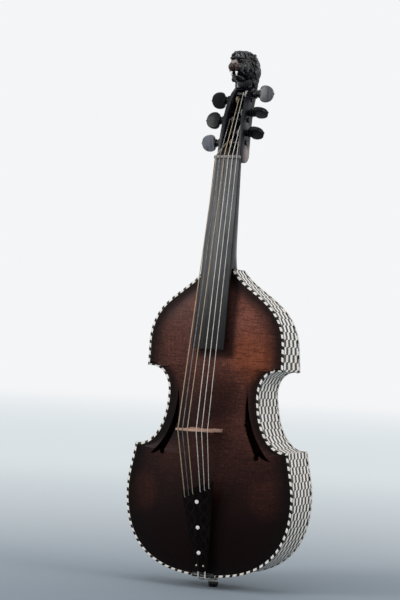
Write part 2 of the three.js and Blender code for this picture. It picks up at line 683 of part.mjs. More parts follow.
function buildInside() {
  const frame = new THREE.Group();
  viol.add(frame);
  const ribBack = DEPTH;
  const corners = [
    ["lower", LOWER_CORNER_HALF, LOWER_CORNER_Z],
    ["upper", UPPER_CORNER_HALF, UPPER_CORNER_Z],
  ];
  const blockReach = CORNER_BLOCK_REACH + GAP * Math.SQRT2;
  const neckBlockLow = BODY_LENGTH - NECK_BLOCK_L;
  const throat = ROOT_HALF - OVERHANG - RIB_T - GAP;
  const throatBounds = block(-throat, throat, innerFront, DEPTH, neckBlockLow, BODY_LENGTH);
  const throatRoom = throatBounds.subtract(behindBack);
  const neckBlockBounds = (grow) =>
    block(-NECK_BLOCK_HALF - grow, NECK_BLOCK_HALF + grow, 0, DEPTH, neckBlockLow - grow, BODY_LENGTH);
  const endBlockBounds = (grow) =>
    block(-END_BLOCK_HALF - grow, END_BLOCK_HALF + grow, 0, DEPTH, -OVERRUN, END_BLOCK_L + grow);
  for (const [side, sign] of [["right", 1], ["left", -1]]) {
    const onSide = (solid) => (sign > 0 ? solid : mirrorX(solid));
    for (const [bout, first, last] of STRIP_RANGES) {
      const rib = strip(ribOuter, ribInner, first, last, innerFront, ribBack)
        .subtract(behindBack)
        .subtract(buttonBore);
      addPiece(frame, `${bout}_rib_${side}`, onSide(rib), CHEQUER);
      const lining = corners.reduce(
        (solid, [, x, z]) => solid.subtract(cornerPrism(x, z, blockReach)),
        strip(liningOuter, liningInner, first, last, innerFront, ribBack)
          .subtract(behindBack)
          .subtract(neckBlockBounds(GAP))
          .subtract(endBlockBounds(GAP)),
      );
      const frontLayer = block(-LOWER_HALF, LOWER_HALF, 0, innerFront + LINING_H, 0, BODY_LENGTH);
      const backLayerRoom = backLayer(BACK_T + GAP, BACK_T + GAP + LINING_H);
      addPiece(frame, `${bout}_front_lining_${side}`, onSide(lining.intersect(frontLayer)), SPRUCE);
      addPiece(frame, `${bout}_back_lining_${side}`, onSide(lining.intersect(backLayerRoom)), SPRUCE);
    }
    for (const [bout, x, z] of corners) {
      const cornerBlock = room.intersect(cornerPrism(x, z, CORNER_BLOCK_REACH));
      addPiece(frame, `${bout}_corner_block_${side}`, onSide(cornerBlock), SPRUCE);
    }
  }
  addPiece(frame, "neck_block", room.add(throatRoom).intersect(neckBlockBounds(0)), SPRUCE);
  addPiece(frame, "end_block", room.intersect(endBlockBounds(0)).subtract(buttonBore), SPRUCE);

  const barFront = -ARCH;
  const barPoints = [
    at(barFront, BAR_LOW_Z),
    at(BAR_TIP_DEEP, BAR_LOW_Z),
    at(BAR_DEEP, BRIDGE_Z),
    at(BAR_TIP_DEEP, BAR_HIGH_Z),
    at(barFront, BAR_HIGH_Z),
  ];
  const bar = prismAlongX(barPoints, BAR_X - BAR_T / 2, BAR_X + BAR_T / 2).intersect(underArch);
  addPiece(frame, "bass_bar", bar, SPRUCE);

  const postZ = BRIDGE_Z - POST_DROP;
  const postBack = DEPTH - BACK_T - BOARD_T - 2 * GAP;
  const post = new THREE.CylinderGeometry(POST_R, POST_R, postBack + ARCH, BUTTON_SIDES)
    .translate(POST_X, (postBack - ARCH) / 2, postZ);
  addPiece(frame, "sound_post", toSolid(post).intersect(underArch), SPRUCE);

  const across = (zLow, zHigh, thickness) => {
    const bounds = block(-LOWER_HALF, LOWER_HALF, 0, DEPTH, zLow, zHigh);
    const layer = backLayer(BACK_T + GAP, BACK_T + GAP + thickness);
    const whole = boardRoom.intersect(bounds).intersect(layer);
    const blocks = corners.flatMap(([, x, z]) => [-x, x].map((place) => cornerPrism(place, z, blockReach)));
    return blocks.reduce((solid, corner) => solid.subtract(corner), whole);
  };
  const board = across(postZ - BOARD_HALF_L, postZ + BOARD_HALF_L, BOARD_T);
  addPiece(frame, "sound_post_board", board, SPRUCE);
  const bendBrace = across(BEND_Z - BRACE_HALF_L, BEND_Z + BRACE_HALF_L, BRACE_T);
  addPiece(frame, "bend_brace", bendBrace, SPRUCE);
  const lowerBrace = across(LOWER_BRACE_Z - BRACE_HALF_L, LOWER_BRACE_Z + BRACE_HALF_L, BRACE_T);
  addPiece(frame, "lower_back_brace", lowerBrace, SPRUCE);
}

// Neck with heel and pegbox

const neckFoot = BODY_LENGTH + GAP;
const neckShare = (z) => (z - neckFoot) / (NUT_Z - neckFoot);
const neckFront = (z) => mix(NECK_FRONT_LOW, NECK_FRONT_HIGH, neckShare(z));
const fingerboardSlope = (NUT_TOP + ACTION_AT_NUT - FINGERBOARD_END_Y) / (NUT_Z - FINGERBOARD_END_Z);
const fingerboardTop = (z) => FINGERBOARD_END_Y + (z - FINGERBOARD_END_Z) * fingerboardSlope;
const fingerboardShare = (z) => (z - FINGERBOARD_END_Z) / (NUT_Z - FINGERBOARD_END_Z);
const fingerboardHalf = (z) => mix(FINGERBOARD_END_HALF, NUT_HALF, fingerboardShare(z));

const cavitySide = (z) =>
  mix(PEGBOX_HALF_LOW, PEGBOX_HALF_TOP, (z - PEGBOX_FOOT_Z) / (PEGBOX_TOP_Z - PEGBOX_FOOT_Z)) - CHEEK_T;

const pegRows = PEG_SHARES.map((share, string) => {
  const y = mix(PEGBOX_FRONT_LOW, PEGBOX_BACK_TOP, share.across);
  const z = mix(PEGBOX_FOOT_Z, PEGBOX_TOP_Z, share.along);
  const head = THUMB_PLACE * share.head;
  const slot = cavitySide(z) * share.slot;
  return { ...share, name: `peg_${string + 1}`, string, y, z, head, slot };
});

function neckShaft() {
  const rings = NECK_RING_SHARES.map((share) => {
    const z = mix(neckFoot, NUT_Z + NUT_L, share);
    const front = neckFront(z);
    const heel = Math.max(0, 1 - (z - neckFoot) / HEEL_L) ** HEEL_POWER;
    const back = mix(NECK_BACK, backY(BODY_LENGTH), heel);
    const half = mix(NECK_HALF_LOW, NECK_HALF_HIGH, share);
    const waist = mix(1, NECK_HEEL_HALF / NECK_HALF_LOW, heel);
    const ring = [];
    for (let i = 0; i <= NECK_ARC_STEPS; i++) {
      const angle = (Math.PI * i) / NECK_ARC_STEPS;
      const x = -Math.cos(angle) * half * mix(1, waist, Math.sin(angle));
      const y = front + (back - front) * Math.sin(angle) ** NECK_ROUND_POWER;
      ring.push(new THREE.Vector3(x, y, z));
    }
    return ring;
  });
  return loft(rings);
}

function pegboxSide(step) {
  const [f1, f2, f3, f4] = PEGBOX_FRONT_SHARES;
  const [b1, b2, b3, b4] = PEGBOX_BACK_SHARES;
  const frontZ = NUT_Z + NUT_L;
  const frontPoint = (u, v) =>
    at(mix(PEGBOX_FRONT_LOW, PEGBOX_FRONT_TOP, u), mix(frontZ, PEGBOX_TOP_Z, v));
  const backPoint = (u, v) =>
    at(mix(PEGBOX_HEEL_Y, PEGBOX_BACK_TOP, u), mix(PEGBOX_HEEL_Z, PEGBOX_TOP_Z, v));
  const front = new THREE.CubicBezierCurve(
    frontPoint(0, 0),
    frontPoint(f1, f2),
    frontPoint(f3, f4),
    frontPoint(1, 1),
  );
  const back = new THREE.CubicBezierCurve(
    backPoint(1, 1),
    backPoint(b3, b4),
    backPoint(b1, b2),
    backPoint(0, 0),
  );
  const heel = new THREE.QuadraticBezierCurve(
    at(PEGBOX_HEEL_Y, PEGBOX_HEEL_Z),
    at(PEGBOX_HEEL_Y, PEGBOX_FOOT_Z),
    at(NECK_BACK - CHEEK_T, PEGBOX_FOOT_Z),
  );
  return { front: front.getPoints(step), back: back.getPoints(step), heel: heel.getPoints(step) };
}

const pegRadius = (share) => mix(PEG_R, PEG_TIP_R, share);
const cheekOuter = (z) => cavitySide(z) + CHEEK_T;

function buildNeck() {
  const side = pegboxSide(PEGBOX_CURVE_STEPS);
  const profile = [
    at(PEGBOX_FRONT_LOW, PEGBOX_FOOT_Z),
    ...side.front,
    ...side.back,
    ...side.heel.slice(1),
  ];
  const frontView = (shrink, low, high) => {
    const half = (z) => cheekOuter(z) - shrink;
    const corners = [at(-half(low), low), at(half(low), low), at(half(high), high), at(-half(high), high)];
    return prismAlongY(corners, 0, DEPTH);
  };
  const outer = prismAlongX(profile, -PEGBOX_HALF_LOW - OVERRUN, PEGBOX_HALF_LOW + OVERRUN).intersect(
    frontView(0, PEGBOX_FOOT_Z, PEGBOX_TOP_Z),
  );
  const floor = side.back.map((p) => at(p.x - CAVITY_FLOOR_T, p.y));
  const cavityProfile = [
    at(-OVERRUN, CAVITY_LOW_Z),
    at(NECK_BACK, CAVITY_LOW_Z),
    ...floor.reverse(),
    at(-OVERRUN, PEGBOX_TOP_Z),
  ];
  const cavity = prismAlongX(cavityProfile, -PEGBOX_HALF_LOW, PEGBOX_HALF_LOW).intersect(
    frontView(CHEEK_T, CAVITY_LOW_Z, CAVITY_HIGH_Z),
  );
  const holes = pegRows.map((row) => pegTaper(row, GAP, OVERRUN));
  const neck = holes.reduce((solid, hole) => solid.subtract(hole), neckShaft().add(outer).subtract(cavity));
  addPiece(viol, "neck", neck, BLACKENED);
}

// A peg's tapered shaft, or with a clearance the hole that it turns in
function pegTaper(row, clearance, reach) {
  const wall = cheekOuter(row.z);
  const near = wall + reach;
  const far = wall + PEG_PROUD + reach;
  const slope = (PEG_R - PEG_TIP_R) / (2 * wall);
  const nearR = PEG_R + slope * reach + clearance;
  const farR = PEG_TIP_R - slope * (PEG_PROUD + reach) + clearance;
  const geometry = new THREE.CylinderGeometry(nearR, farR, near + far, PEG_SIDES);
  geometry.rotateZ(-Math.PI / 2);
  geometry.translate((near - far) / 2, 0, 0);
  geometry.rotateZ(row.side > 0 ? 0 : Math.PI);
  geometry.translate(0, row.y, row.z);
  return toSolid(geometry);
}

function buildFingerboard() {
  const over = [FINGERBOARD_END_Z, BODY_LENGTH - GAP].map((z) => [z, fingerboardTop(z) + FINGERBOARD_T]);
  const joined = [neckFoot, NUT_Z - GAP].map((z) => [z, neckFront(z) - GAP]);
  const rings = [...over, ...joined].map(([z, floor]) => {
    const half = fingerboardHalf(z);
    const ring = [new THREE.Vector3(half, floor, z), new THREE.Vector3(-half, floor, z)];
    for (let i = 0; i <= FINGERBOARD_ARC_STEPS; i++) {
      const share = (2 * i) / FINGERBOARD_ARC_STEPS - 1;
      ring.push(new THREE.Vector3(half * share, fingerboardTop(z) + FINGERBOARD_DROP * share ** 2, z));
    }
    return ring;
  });
  addPiece(viol, "fingerboard", loft(rings), EBONY);
}

// Heights of the string seats on nut and bridge
const nutY = (x) => NUT_TOP + NUT_DROP * (x / NUT_HALF) ** 2;
const crownY = (x) => -BRIDGE_TOP + BRIDGE_FALL * (x / BRIDGE_HALF) ** 2;

const strings = STRING_RADIUS_SHARES.map((share, i) => ({
  radius: BASS_STRING_R * share,
  nutX: NUT_SPREAD * NUT_STRING_SHARES[i],
  bridgeX: BRIDGE_SPREAD * BRIDGE_STRING_SHARES[i],
}));

// A crown line from left to right with a half-round notch under each string
function notchedLine(half, height, places) {
  const points = [at(-half, height(-half))];
  places.forEach(({ x, radius }) => {
    for (let i = 0; i <= 4; i++) {
      const angle = (Math.PI * i) / 4;
      const dx = -Math.cos(angle) * radius;
      points.push(at(x + dx, height(x) + Math.sin(angle) * radius));
    }
  });
  points.push(at(half, height(half)));
  return points;
}

function buildNut() {
  const places = strings.map((s) => ({ x: s.nutX, radius: s.radius + GAP }));
  const floor = neckFront(NUT_Z) - GAP;
  const points = [...notchedLine(NUT_HALF, nutY, places), at(NUT_HALF, floor), at(-NUT_HALF, floor)];
  addPiece(viol, "nut", prismAlongZ(points.reverse(), NUT_Z, NUT_Z + NUT_L), EBONY);
}

function buildBridge() {
  const places = strings.map((s) => ({ x: s.bridgeX, radius: s.radius + GAP }));
  const y = (share) => -BRIDGE_TOP * share;
  const flank = BRIDGE_SIDE_SHARES.map(([u, v]) => at(BRIDGE_HALF * u, y(v)));
  const footTop = -ARCH - BRIDGE_FOOT_H;
  const foot = [
    at(BRIDGE_FOOT_HALF, footTop),
    at(BRIDGE_FOOT_HALF, 0),
    at(BRIDGE_FOOT_HALF - BRIDGE_FOOT_W, 0),
    at(BRIDGE_FOOT_HALF - BRIDGE_FOOT_W, footTop),
  ];
  const arch = BRIDGE_ARCH_SHARES.map(([u, v]) => at(BRIDGE_HALF * u, y(v)));
  const right = [...flank, ...foot, ...arch];
  const left = right.map((p) => at(-p.x, p.y)).reverse();
  const bodyPoints = [...notchedLine(BRIDGE_HALF, crownY, places), ...right, ...left];
  const heart = BRIDGE_HEART_SHARES.map(([u, v]) => at(BRIDGE_HALF * u, y(v)));
  const heartPoints = [...heart, ...heart.slice(1, -1).reverse().map((p) => at(-p.x, p.y))];
  const crownZ = BRIDGE_CROWN_T / 2;
  const footZ = BRIDGE_FOOT_T / 2;
  const edge = [
    at(-BRIDGE_TOP - OVERRUN, -crownZ),
    at(-BRIDGE_TOP, -crownZ),
    at(0, -footZ),
    at(0, footZ),
    at(-BRIDGE_TOP, crownZ),
    at(-BRIDGE_TOP - OVERRUN, crownZ),
  ].map((p) => at(p.x, p.y + BRIDGE_Z));
  const bridge = prismAlongZ(bodyPoints.reverse(), BRIDGE_Z - footZ, BRIDGE_Z + footZ)
    .subtract(prismAlongZ(heartPoints, BRIDGE_Z - OVERRUN, BRIDGE_Z + OVERRUN))
    .intersect(prismAlongX(edge, -BRIDGE_HALF - OVERRUN, BRIDGE_HALF + OVERRUN))
    .subtract(overArch);
  addPiece(viol, "bridge", bridge, BRIDGE_WOOD);
}

// Tailpiece, its gut, the saddle and the end button

const tailShare = (z) => (z - TAIL_LOW_Z) / (TAIL_HIGH_Z - TAIL_LOW_Z);
const tailHalf = (share) => mix(TAIL_HALF_LOW, TAIL_HALF_HIGH, share);
const tailRidgeY = (z) => mix(TAIL_LOW_Y, TAIL_HIGH_Y, tailShare(z));
const tailTopY = (x, z) => tailRidgeY(z) + (TAIL_RIDGE * Math.abs(x)) / tailHalf(tailShare(z));
const tailEdgeZ = (x) => TAIL_HIGH_Z + (TAIL_SKEW * x) / TAIL_HALF_HIGH;

strings.forEach((s, i) => {
  s.tailX = TAIL_HALF_HIGH * TAIL_SPREAD_SHARE * BRIDGE_STRING_SHARES[i];
  s.tailZ = tailEdgeZ(s.tailX) - TAIL_HOLE_SETBACK;
  s.tailY = tailTopY(s.tailX, s.tailZ);
});

const gutHoleZ = TAIL_LOW_Z + GUT_HOLE_SETBACK;

function buildTailpiece() {
  const rings = TAIL_RING_SHARES.map((share, r) => {
    const round = r === 0 ? TAIL_LOW_ROUND_SHARE : 1;
    const half = tailHalf(share) * round;
    const place = (u, fall, drop) => {
      const x = half * u;
      const z = mix(TAIL_LOW_Z, tailEdgeZ(x), share);
      return new THREE.Vector3(x, mix(tailRidgeY(z), tailTopY(x, z), fall) + drop, z);
    };
    const top = [-1, -0.5, 0, 0.5, 1].map((u) => place(u, 1, 0));
    const under = [1, 0.5, 0, -0.5, -1].map((u) => place(u, TAIL_HOLLOW_SHARE, TAIL_T));
    return [...top, ...under];
  });
  const drill = (x, y, z, radius) => {
    const geometry = new THREE.CylinderGeometry(radius, radius, 2 * OVERRUN, PEG_SIDES / 2);
    return toSolid(geometry.translate(x, y, z));
  };
  const holes = strings.map((s) => drill(s.tailX, s.tailY, s.tailZ, TAIL_HOLE_R));
  const gutHoleY = tailRidgeY(gutHoleZ);
  const gutHoles = [-GUT_HOLE_X, GUT_HOLE_X].map((x) => drill(x, gutHoleY, gutHoleZ, GUT_HOLE_R));
  const tailpiece = [...holes, ...gutHoles].reduce((solid, hole) => solid.subtract(hole), loft(rings));
  addPiece(viol, "tailpiece", tailpiece, EBONY);
  const saddlePoints = [
    at(SADDLE_SEAT, 0),
    at(-SADDLE_TOP / 2, 0),
    at(-SADDLE_TOP, SADDLE_L / 4),
    at(-SADDLE_TOP, SADDLE_L / 2),
    at(-SADDLE_TOP / 2, SADDLE_L),
    at(SADDLE_SEAT, SADDLE_L),
  ];
  addPiece(viol, "saddle", prismAlongX(saddlePoints.reverse(), -SADDLE_HALF, SADDLE_HALF), EBONY);
}

function buildEndButton() {
  const length = BUTTON_DROP;
  const points = [
    at(0, BUTTON_STEM_L),
    at(BUTTON_STEM_R, BUTTON_STEM_L),
    at(BUTTON_STEM_R, -GAP),
    ...BUTTON_SHARES.map(([u, v]) => at(BUTTON_NECK_R * v, -length * u - GAP)),
    at(BUTTON_FOOT_R, -length),
    at(0, -length),
  ];
  const geometry = new THREE.LatheGeometry(points, BUTTON_SIDES);
  geometry.rotateX(Math.PI / 2);
  geometry.translate(0, BUTTON_DEPTH, 0);
  addPiece(viol, "end_button", toSolid(geometry), EBONY);
}

// Cords: a route of straight runs, with a section set square to the bend at each of its points
class CordRoute extends THREE.Curve {
  constructor(points) {
    super();
    this.points = points;
  }
  getPoint(share) {
    const place = share * (this.points.length - 1);
    const i = Math.min(Math.floor(place), this.points.length - 2);
    return this.points[i].clone().lerp(this.points[i + 1], place - i);
  }
  getPointAt(share) {
    return this.getPoint(share);
  }
  getTangentAt(share) {
    const i = Math.round(share * (this.points.length - 1));
    const run = (a, b) => this.points[b].clone().sub(this.points[a]).normalize();
    const last = this.points.length - 1;
    if (i === 0) return run(0, 1);
    if (i === last) return run(last - 1, last);
    return run(i - 1, i).add(run(i, i + 1)).normalize();
  }
}

function cord(points, radius, sides) {
  const section = new THREE.Shape();
  for (let i = 0; i < sides; i++) {
    const angle = (2 * Math.PI * i) / sides;
    const [x, y] = [Math.cos(angle) * radius, Math.sin(angle) * radius];
    if (i) section.lineTo(x, y);
    else section.moveTo(x, y);
  }
  const options = { steps: points.length - 1, extrudePath: new CordRoute(points) };
  return toSolid(new THREE.ExtrudeGeometry(section, options));
}

function buildTailgut() {
  const lie = GUT_R + GAP;
  const bendR = BUTTON_NECK_R + lie;
  const underZ = -BUTTON_DROP * BUTTON_GROOVE_SHARE;
  const right = [
    new THREE.Vector3(GUT_HOLE_X, tailRidgeY(gutHoleZ) + TAIL_T, gutHoleZ),
    new THREE.Vector3(GUT_HOLE_X, tailRidgeY(gutHoleZ) + TAIL_T + TAIL_RIDGE, gutHoleZ - lie),
    new THREE.Vector3(GUT_HOLE_X, -SADDLE_TOP - lie, SADDLE_L / 2),
    new THREE.Vector3(GUT_HOLE_X, -SADDLE_TOP - lie, 0),
    new THREE.Vector3(GUT_HOLE_X, -SADDLE_TOP / 2, -lie),
    new THREE.Vector3(GUT_HOLE_X, SADDLE_TOP, underZ),
    new THREE.Vector3(bendR, BUTTON_DEPTH - bendR, underZ),
  ];
  const left = right.map((p) => new THREE.Vector3(-p.x, p.y, p.z)).reverse();
  const bend = [];
  for (let i = 0; i <= 8; i++) {
    const angle = (Math.PI * i) / 8;
    bend.push(new THREE.Vector3(Math.cos(angle) * bendR, BUTTON_DEPTH + Math.sin(angle) * bendR, underZ));
  }
  addPiece(viol, "tailgut", cord([...right, ...bend, ...left], GUT_R, STRING_SIDES), GUT);
}

// The point where a line from the nut meets the front of a circle round a peg's axis
function tangentPoint(y, z, row, radius) {
  const toAxis = at(row.y - y, row.z - z);
  const reach = toAxis.length();
  const run = Math.sqrt(reach ** 2 - radius ** 2);
  const direction = toAxis.clone().rotateAround(at(0, 0), Math.asin(radius / reach)).setLength(run);
  return at(y + direction.x, z + direction.y);
}

function buildStrings() {
  pegRows.forEach((row) => {
    const s = strings[row.string];
    const slotX = row.side * row.slot;
    const wall = cheekOuter(row.z);
    const shaftR = pegRadius((wall - row.slot) / (2 * wall));
    const seat = shaftR + GAP + s.radius;
    const nutFront = nutY(s.nutX);
    const touch = tangentPoint(nutFront, NUT_Z + NUT_L, row, seat);
    const crownLow = BRIDGE_Z - BRIDGE_CROWN_T / 2;
    const crownHigh = BRIDGE_Z + BRIDGE_CROWN_T / 2;
    const inHole = s.tailY + TAIL_T / 2;
    const route = [
      new THREE.Vector3(s.tailX, s.tailY + TAIL_T, s.tailZ - s.radius),
      new THREE.Vector3(s.tailX, inHole, s.tailZ - s.radius / 2),
      new THREE.Vector3(s.tailX, s.tailY - s.radius - GAP / 2, s.tailZ + TAIL_HOLE_R / 2),
      new THREE.Vector3(s.bridgeX, crownY(s.bridgeX), crownLow),
      new THREE.Vector3(s.bridgeX, crownY(s.bridgeX), crownHigh),
      new THREE.Vector3(s.nutX, nutFront, NUT_Z),
      new THREE.Vector3(s.nutX, nutFront, NUT_Z + NUT_L),
      new THREE.Vector3(slotX, touch.x, touch.y),
    ];
    const finish = row.string === 1 ? WOUND : GUT;
    addPiece(viol, `string_${row.string + 1}`, cord(route, s.radius, STRING_SIDES), finish);
  });
}

// Pegs and the string turns on them, each built along +X from the pegbox centre

function buildPegs() {
  pegRows.forEach((row) => {
    const peg = new THREE.Group();
    peg.position.set(0, row.y, row.z);
    peg.rotation.set(2 * Math.PI * row.turn, 0, row.side > 0 ? 0 : Math.PI);
    viol.add(peg);
    addPiece(peg, row.name, pegSolid(row), EBONY);
    const s = strings[row.string];
    const finish = row.string === 1 ? WOUND : GUT;
    addPiece(peg, `winding_${row.string + 1}`, windingSolid(row, s), finish);
  });
}

function pegSolid(row) {
  const wall = cheekOuter(row.z);
  const shaft = new THREE.CylinderGeometry(PEG_R, PEG_TIP_R, 2 * wall + PEG_PROUD, PEG_SIDES)
    .rotateZ(-Math.PI / 2)
    .translate(-PEG_PROUD / 2, 0, 0);
  const collarEnd = row.head - THUMB_L / 2 + THUMB_SINK;
  const collarStart = wall + COLLAR_GAP;
  const collarPoints = [
    at(0, wall - GAP),
    at(PEG_R, wall - GAP),
    at(PEG_R, collarStart),
    ...COLLAR_SHARES.map(([u, v]) => at(COLLAR_R * v, mix(collarStart, collarEnd, u))),
    at(0, collarEnd),
  ];
  const collar = new THREE.LatheGeometry(collarPoints, PEG_SIDES).rotateZ(-Math.PI / 2);
  const pip = new THREE.SphereGeometry(PIP_R, LOCK_SIDES, LOCK_RINGS);
  pip.translate(row.head + THUMB_L / 2, 0, 0);
  return toSolid(shaft).add(toSolid(collar)).add(thumbPiece(row)).add(toSolid(pip));
}

// A flat thumb piece, heart-shaped where it meets the collar and round outside, in the plane of the shaft
function thumbPiece(row) {
  const low = row.head - THUMB_L / 2;
  const high = row.head + THUMB_L / 2;
  const half = THUMB_H / 2;
  const s = THUMB_SHARES;
  const crest = at(mix(low, high, s.crest), half);
  const shoulder = new THREE.CubicBezierCurve(
    at(low + THUMB_SINK, 0),
    at(low - THUMB_SINK, half * s.notch),
    at(low - THUMB_SINK, half),
    crest,
  );
  const crown = new THREE.CubicBezierCurve(
    crest,
    at(mix(crest.x, high, s.crown), half),
    at(high, half * s.crown),
    at(high, 0),
  );
  const upper = [...shoulder.getPoints(THUMB_STEPS), ...crown.getPoints(THUMB_STEPS).slice(1)];
  const lower = upper.slice(1, -1).reverse().map((p) => at(p.x, -p.y));
  return prismAlongY([...upper, ...lower], -THUMB_T / 2, THUMB_T / 2);
}

// Helix of the string round its peg, beside the place where the string arrives
function windingSolid(row, s) {
  const wall = cheekOuter(row.z);
  const pitch = 2 * s.radius + WINDING_GAP;
  const start = row.slot + row.way * pitch;
  const steps = Math.round(WINDING_TURNS * WINDING_STEPS);
  const points = [];
  for (let i = 0; i <= steps; i++) {
    const turn = i / WINDING_STEPS;
    const x = start + row.way * pitch * turn;
    const radius = pegRadius((wall - x) / (2 * wall)) + GAP + s.radius;
    const angle = 2 * Math.PI * turn + Math.PI;
    points.push(new THREE.Vector3(x, radius * Math.cos(angle), radius * Math.sin(angle)));
  }
  report(`winding_${row.string + 1}`, points, 2 * s.radius);
  return cord(points, s.radius, WINDING_SIDES);
}

// Least space between a winding's turns, measured on its centre points more than half a turn apart
function report(name, points, diameter) {
  let least = Infinity;
  for (let i = 0; i < points.length; i++) {
    for (let j = i + WINDING_STEPS / 2; j < points.length; j++) {
      least = Math.min(least, points[i].distanceTo(points[j]) - diameter);
    }
  }
  console.log(`${name}: least gap to itself ${least.toFixed(2)} mm`);
}

// Lion's head, seated on the pegbox

// A rounded lump with its middle and half sizes, tilted about the X axis
function lump(middle, size, tilt) {
  const geometry = new THREE.SphereGeometry(1, FACE_SIDES, FACE_RINGS);
  geometry.scale(size.x, size.y, size.z);
  geometry.rotateX(tilt);
  geometry.translate(middle.x, middle.y, middle.z);
  return toSolid(geometry);
}

// A pointed lock of mane that lies on the head and runs backwards and down
function lock(share, angle) {
  const ring = Math.sqrt(1 - share ** 2);
  const [mx, my, mz] = MANE_SHARES;
  const out = new THREE.Vector3(Math.cos(angle) * ring, share, Math.sin(angle) * ring);
  const middle = out.clone().multiply(new THREE.Vector3(HEAD_HALF * mx, HEAD_REACH * my, HEAD_RISE * mz));
  middle.add(new THREE.Vector3(0, HEAD_Y, HEAD_Z));
  const along = new THREE.Vector3(0, 1, -MANE_DROOP_SHARE).projectOnPlane(out).normalize();
  const across = new THREE.Vector3().crossVectors(along, out);
  const geometry = new THREE.SphereGeometry(1, LOCK_SIDES, LOCK_RINGS);
  geometry.scale(LOCK_W, LOCK_L, LOCK_T);
  geometry.applyMatrix4(new THREE.Matrix4().makeBasis(across, along, out));
  geometry.translate(middle.x, middle.y, middle.z);
  return toSolid(geometry);
}

// The outer skin of a union whose lumps enclose pockets
function largestShell(solid) {
  return solid.decompose().reduce((best, shell) => (shell.volume() > best.volume() ? shell : best));
}

function buildHead() {
  const face = ([x, y, z], [sx, sy, sz], turn) => {
    const middle = new THREE.Vector3(HEAD_HALF * x, HEAD_Y + HEAD_REACH * y, HEAD_Z + HEAD_RISE * z);
    const size = new THREE.Vector3(HEAD_HALF * sx, HEAD_REACH * sy, HEAD_RISE * sz);
    return lump(middle, size, turn * Math.PI);
  };
  const pair = ([x, y, z], size) => [face([-x, y, z], size, 0), face([x, y, z], size, 0)];
  const headFoot = PEGBOX_TOP_Z + GAP;
  const seat = block(-HEAD_SEAT_HALF, HEAD_SEAT_HALF, HEAD_SEAT_FRONT, HEAD_SEAT_BACK, headFoot, HEAD_Z);
  const locks = [];
  for (let r = 0; r < LOCK_ROWS; r++) {
    const share = mix(...MANE_ROW_SHARES, r / (LOCK_ROWS - 1));
    for (let i = 0; i < LOCKS_PER_ROW; i++) {
      const place = (i + (r % 2) / 2) / (LOCKS_PER_ROW - 1 / 2);
      locks.push(lock(share, Math.PI * mix(...MANE_ARC_SHARES, place)));
    }
  }
  const lumps = LION_SHARES.map(([middle, size, turn]) => face(middle, size, turn));
  const features = [...lumps, ...pair(EYE_SHARES, EYE_SIZE_SHARES), ...pair(EAR_SHARES, EAR_SIZE_SHARES)];
  const head = [...features, ...locks].reduce((solid, part) => solid.add(part), seat);
  const above = block(-LOWER_HALF, LOWER_HALF, -DEPTH, 2 * DEPTH, headFoot, HEAD_Z + 2 * HEAD_RISE);
  const carved = head.subtract(face(...MOUTH_SHARES)).intersect(above);
  addPiece(viol, "lion_head", largestShell(carved), BLACKENED);
}

buildPlates();
buildInside();
buildNeck();
buildFingerboard();
buildNut();
buildBridge();
buildTailpiece();
buildEndButton();
buildTailgut();
buildStrings();
buildPegs();
buildHead();

export default viol;
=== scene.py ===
import json
from math import asin, copysign, cos, pi, radians, sin, sqrt

import bpy
from mathutils import Matrix, Vector


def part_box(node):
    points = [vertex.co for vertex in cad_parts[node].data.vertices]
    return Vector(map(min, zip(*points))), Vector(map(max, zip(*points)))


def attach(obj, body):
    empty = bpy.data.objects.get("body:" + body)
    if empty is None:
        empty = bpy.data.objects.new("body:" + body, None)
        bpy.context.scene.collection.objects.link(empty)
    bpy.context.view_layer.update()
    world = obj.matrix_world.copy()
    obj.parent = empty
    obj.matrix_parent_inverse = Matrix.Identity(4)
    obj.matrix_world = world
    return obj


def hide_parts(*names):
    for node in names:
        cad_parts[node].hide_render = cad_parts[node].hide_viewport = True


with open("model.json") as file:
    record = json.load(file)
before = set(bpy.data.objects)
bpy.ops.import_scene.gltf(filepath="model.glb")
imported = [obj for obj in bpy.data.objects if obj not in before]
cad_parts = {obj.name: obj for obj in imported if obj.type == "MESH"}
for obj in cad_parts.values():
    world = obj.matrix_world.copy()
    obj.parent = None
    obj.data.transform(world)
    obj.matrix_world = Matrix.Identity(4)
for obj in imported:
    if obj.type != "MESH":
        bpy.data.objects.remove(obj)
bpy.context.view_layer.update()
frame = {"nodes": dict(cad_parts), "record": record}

MM = 0.001


class Named:
    """Values held under their names."""

    def __init__(self, **values):
        self.__dict__.update(values)


def sizes(**lengths):
    """Named lengths in metres, written in millimetres."""
    return Named(**{name: length * MM for name, length in lengths.items()})


def vec(*numbers):
    return Vector(numbers)


# A place is (x, depth, height): depth runs back from the belly's rim, height up from the body's foot
RIM_LOW, RIM_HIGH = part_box("top_edging")
_, BACK_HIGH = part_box("back_edging")
BELLY_Y = RIM_LOW.y
FOOT_Z = RIM_LOW.z
BODY_LENGTH = RIM_HIGH.z - RIM_LOW.z
DEPTH = BACK_HIGH.y - BELLY_Y

# Outline: each stretch of its right half as a Bezier curve's four points in millimetres, from foot to neck
OUTLINE_CURVES = [
    [(0, 0), (72.02, 0), (110.8, 31.68), (110.8, 99)],
    [(110.8, 99), (110.8, 121.04), (102, 147.14), (102, 157)],
    [(102, 157), (77.76, 154.08), (60.2, 183), (60.2, 222)],
    [(60.2, 222), (60.2, 241.2), (71.68, 254.94), (90.4, 252.5)],
    [(90.4, 252.5), (90.4, 252.5), (90, 279), (90, 279)],
    [(90, 279), (90, 338.5), (39.6, 343.3), (19, 375)],
]
OUTLINE_STEPS = [26, 10, 22, 18, 6, 26]
LOWER_CORNER = sum(OUTLINE_STEPS[:2])
UPPER_CORNER = sum(OUTLINE_STEPS[:4])
SPINE_SHARES = [0, 0.2, 0.3, 0.58, 0.77, 0.84, 1]
SPINE_SWELL = 0.16
SPINE = sizes(low=64, high=316)
ARCH = 13 * MM
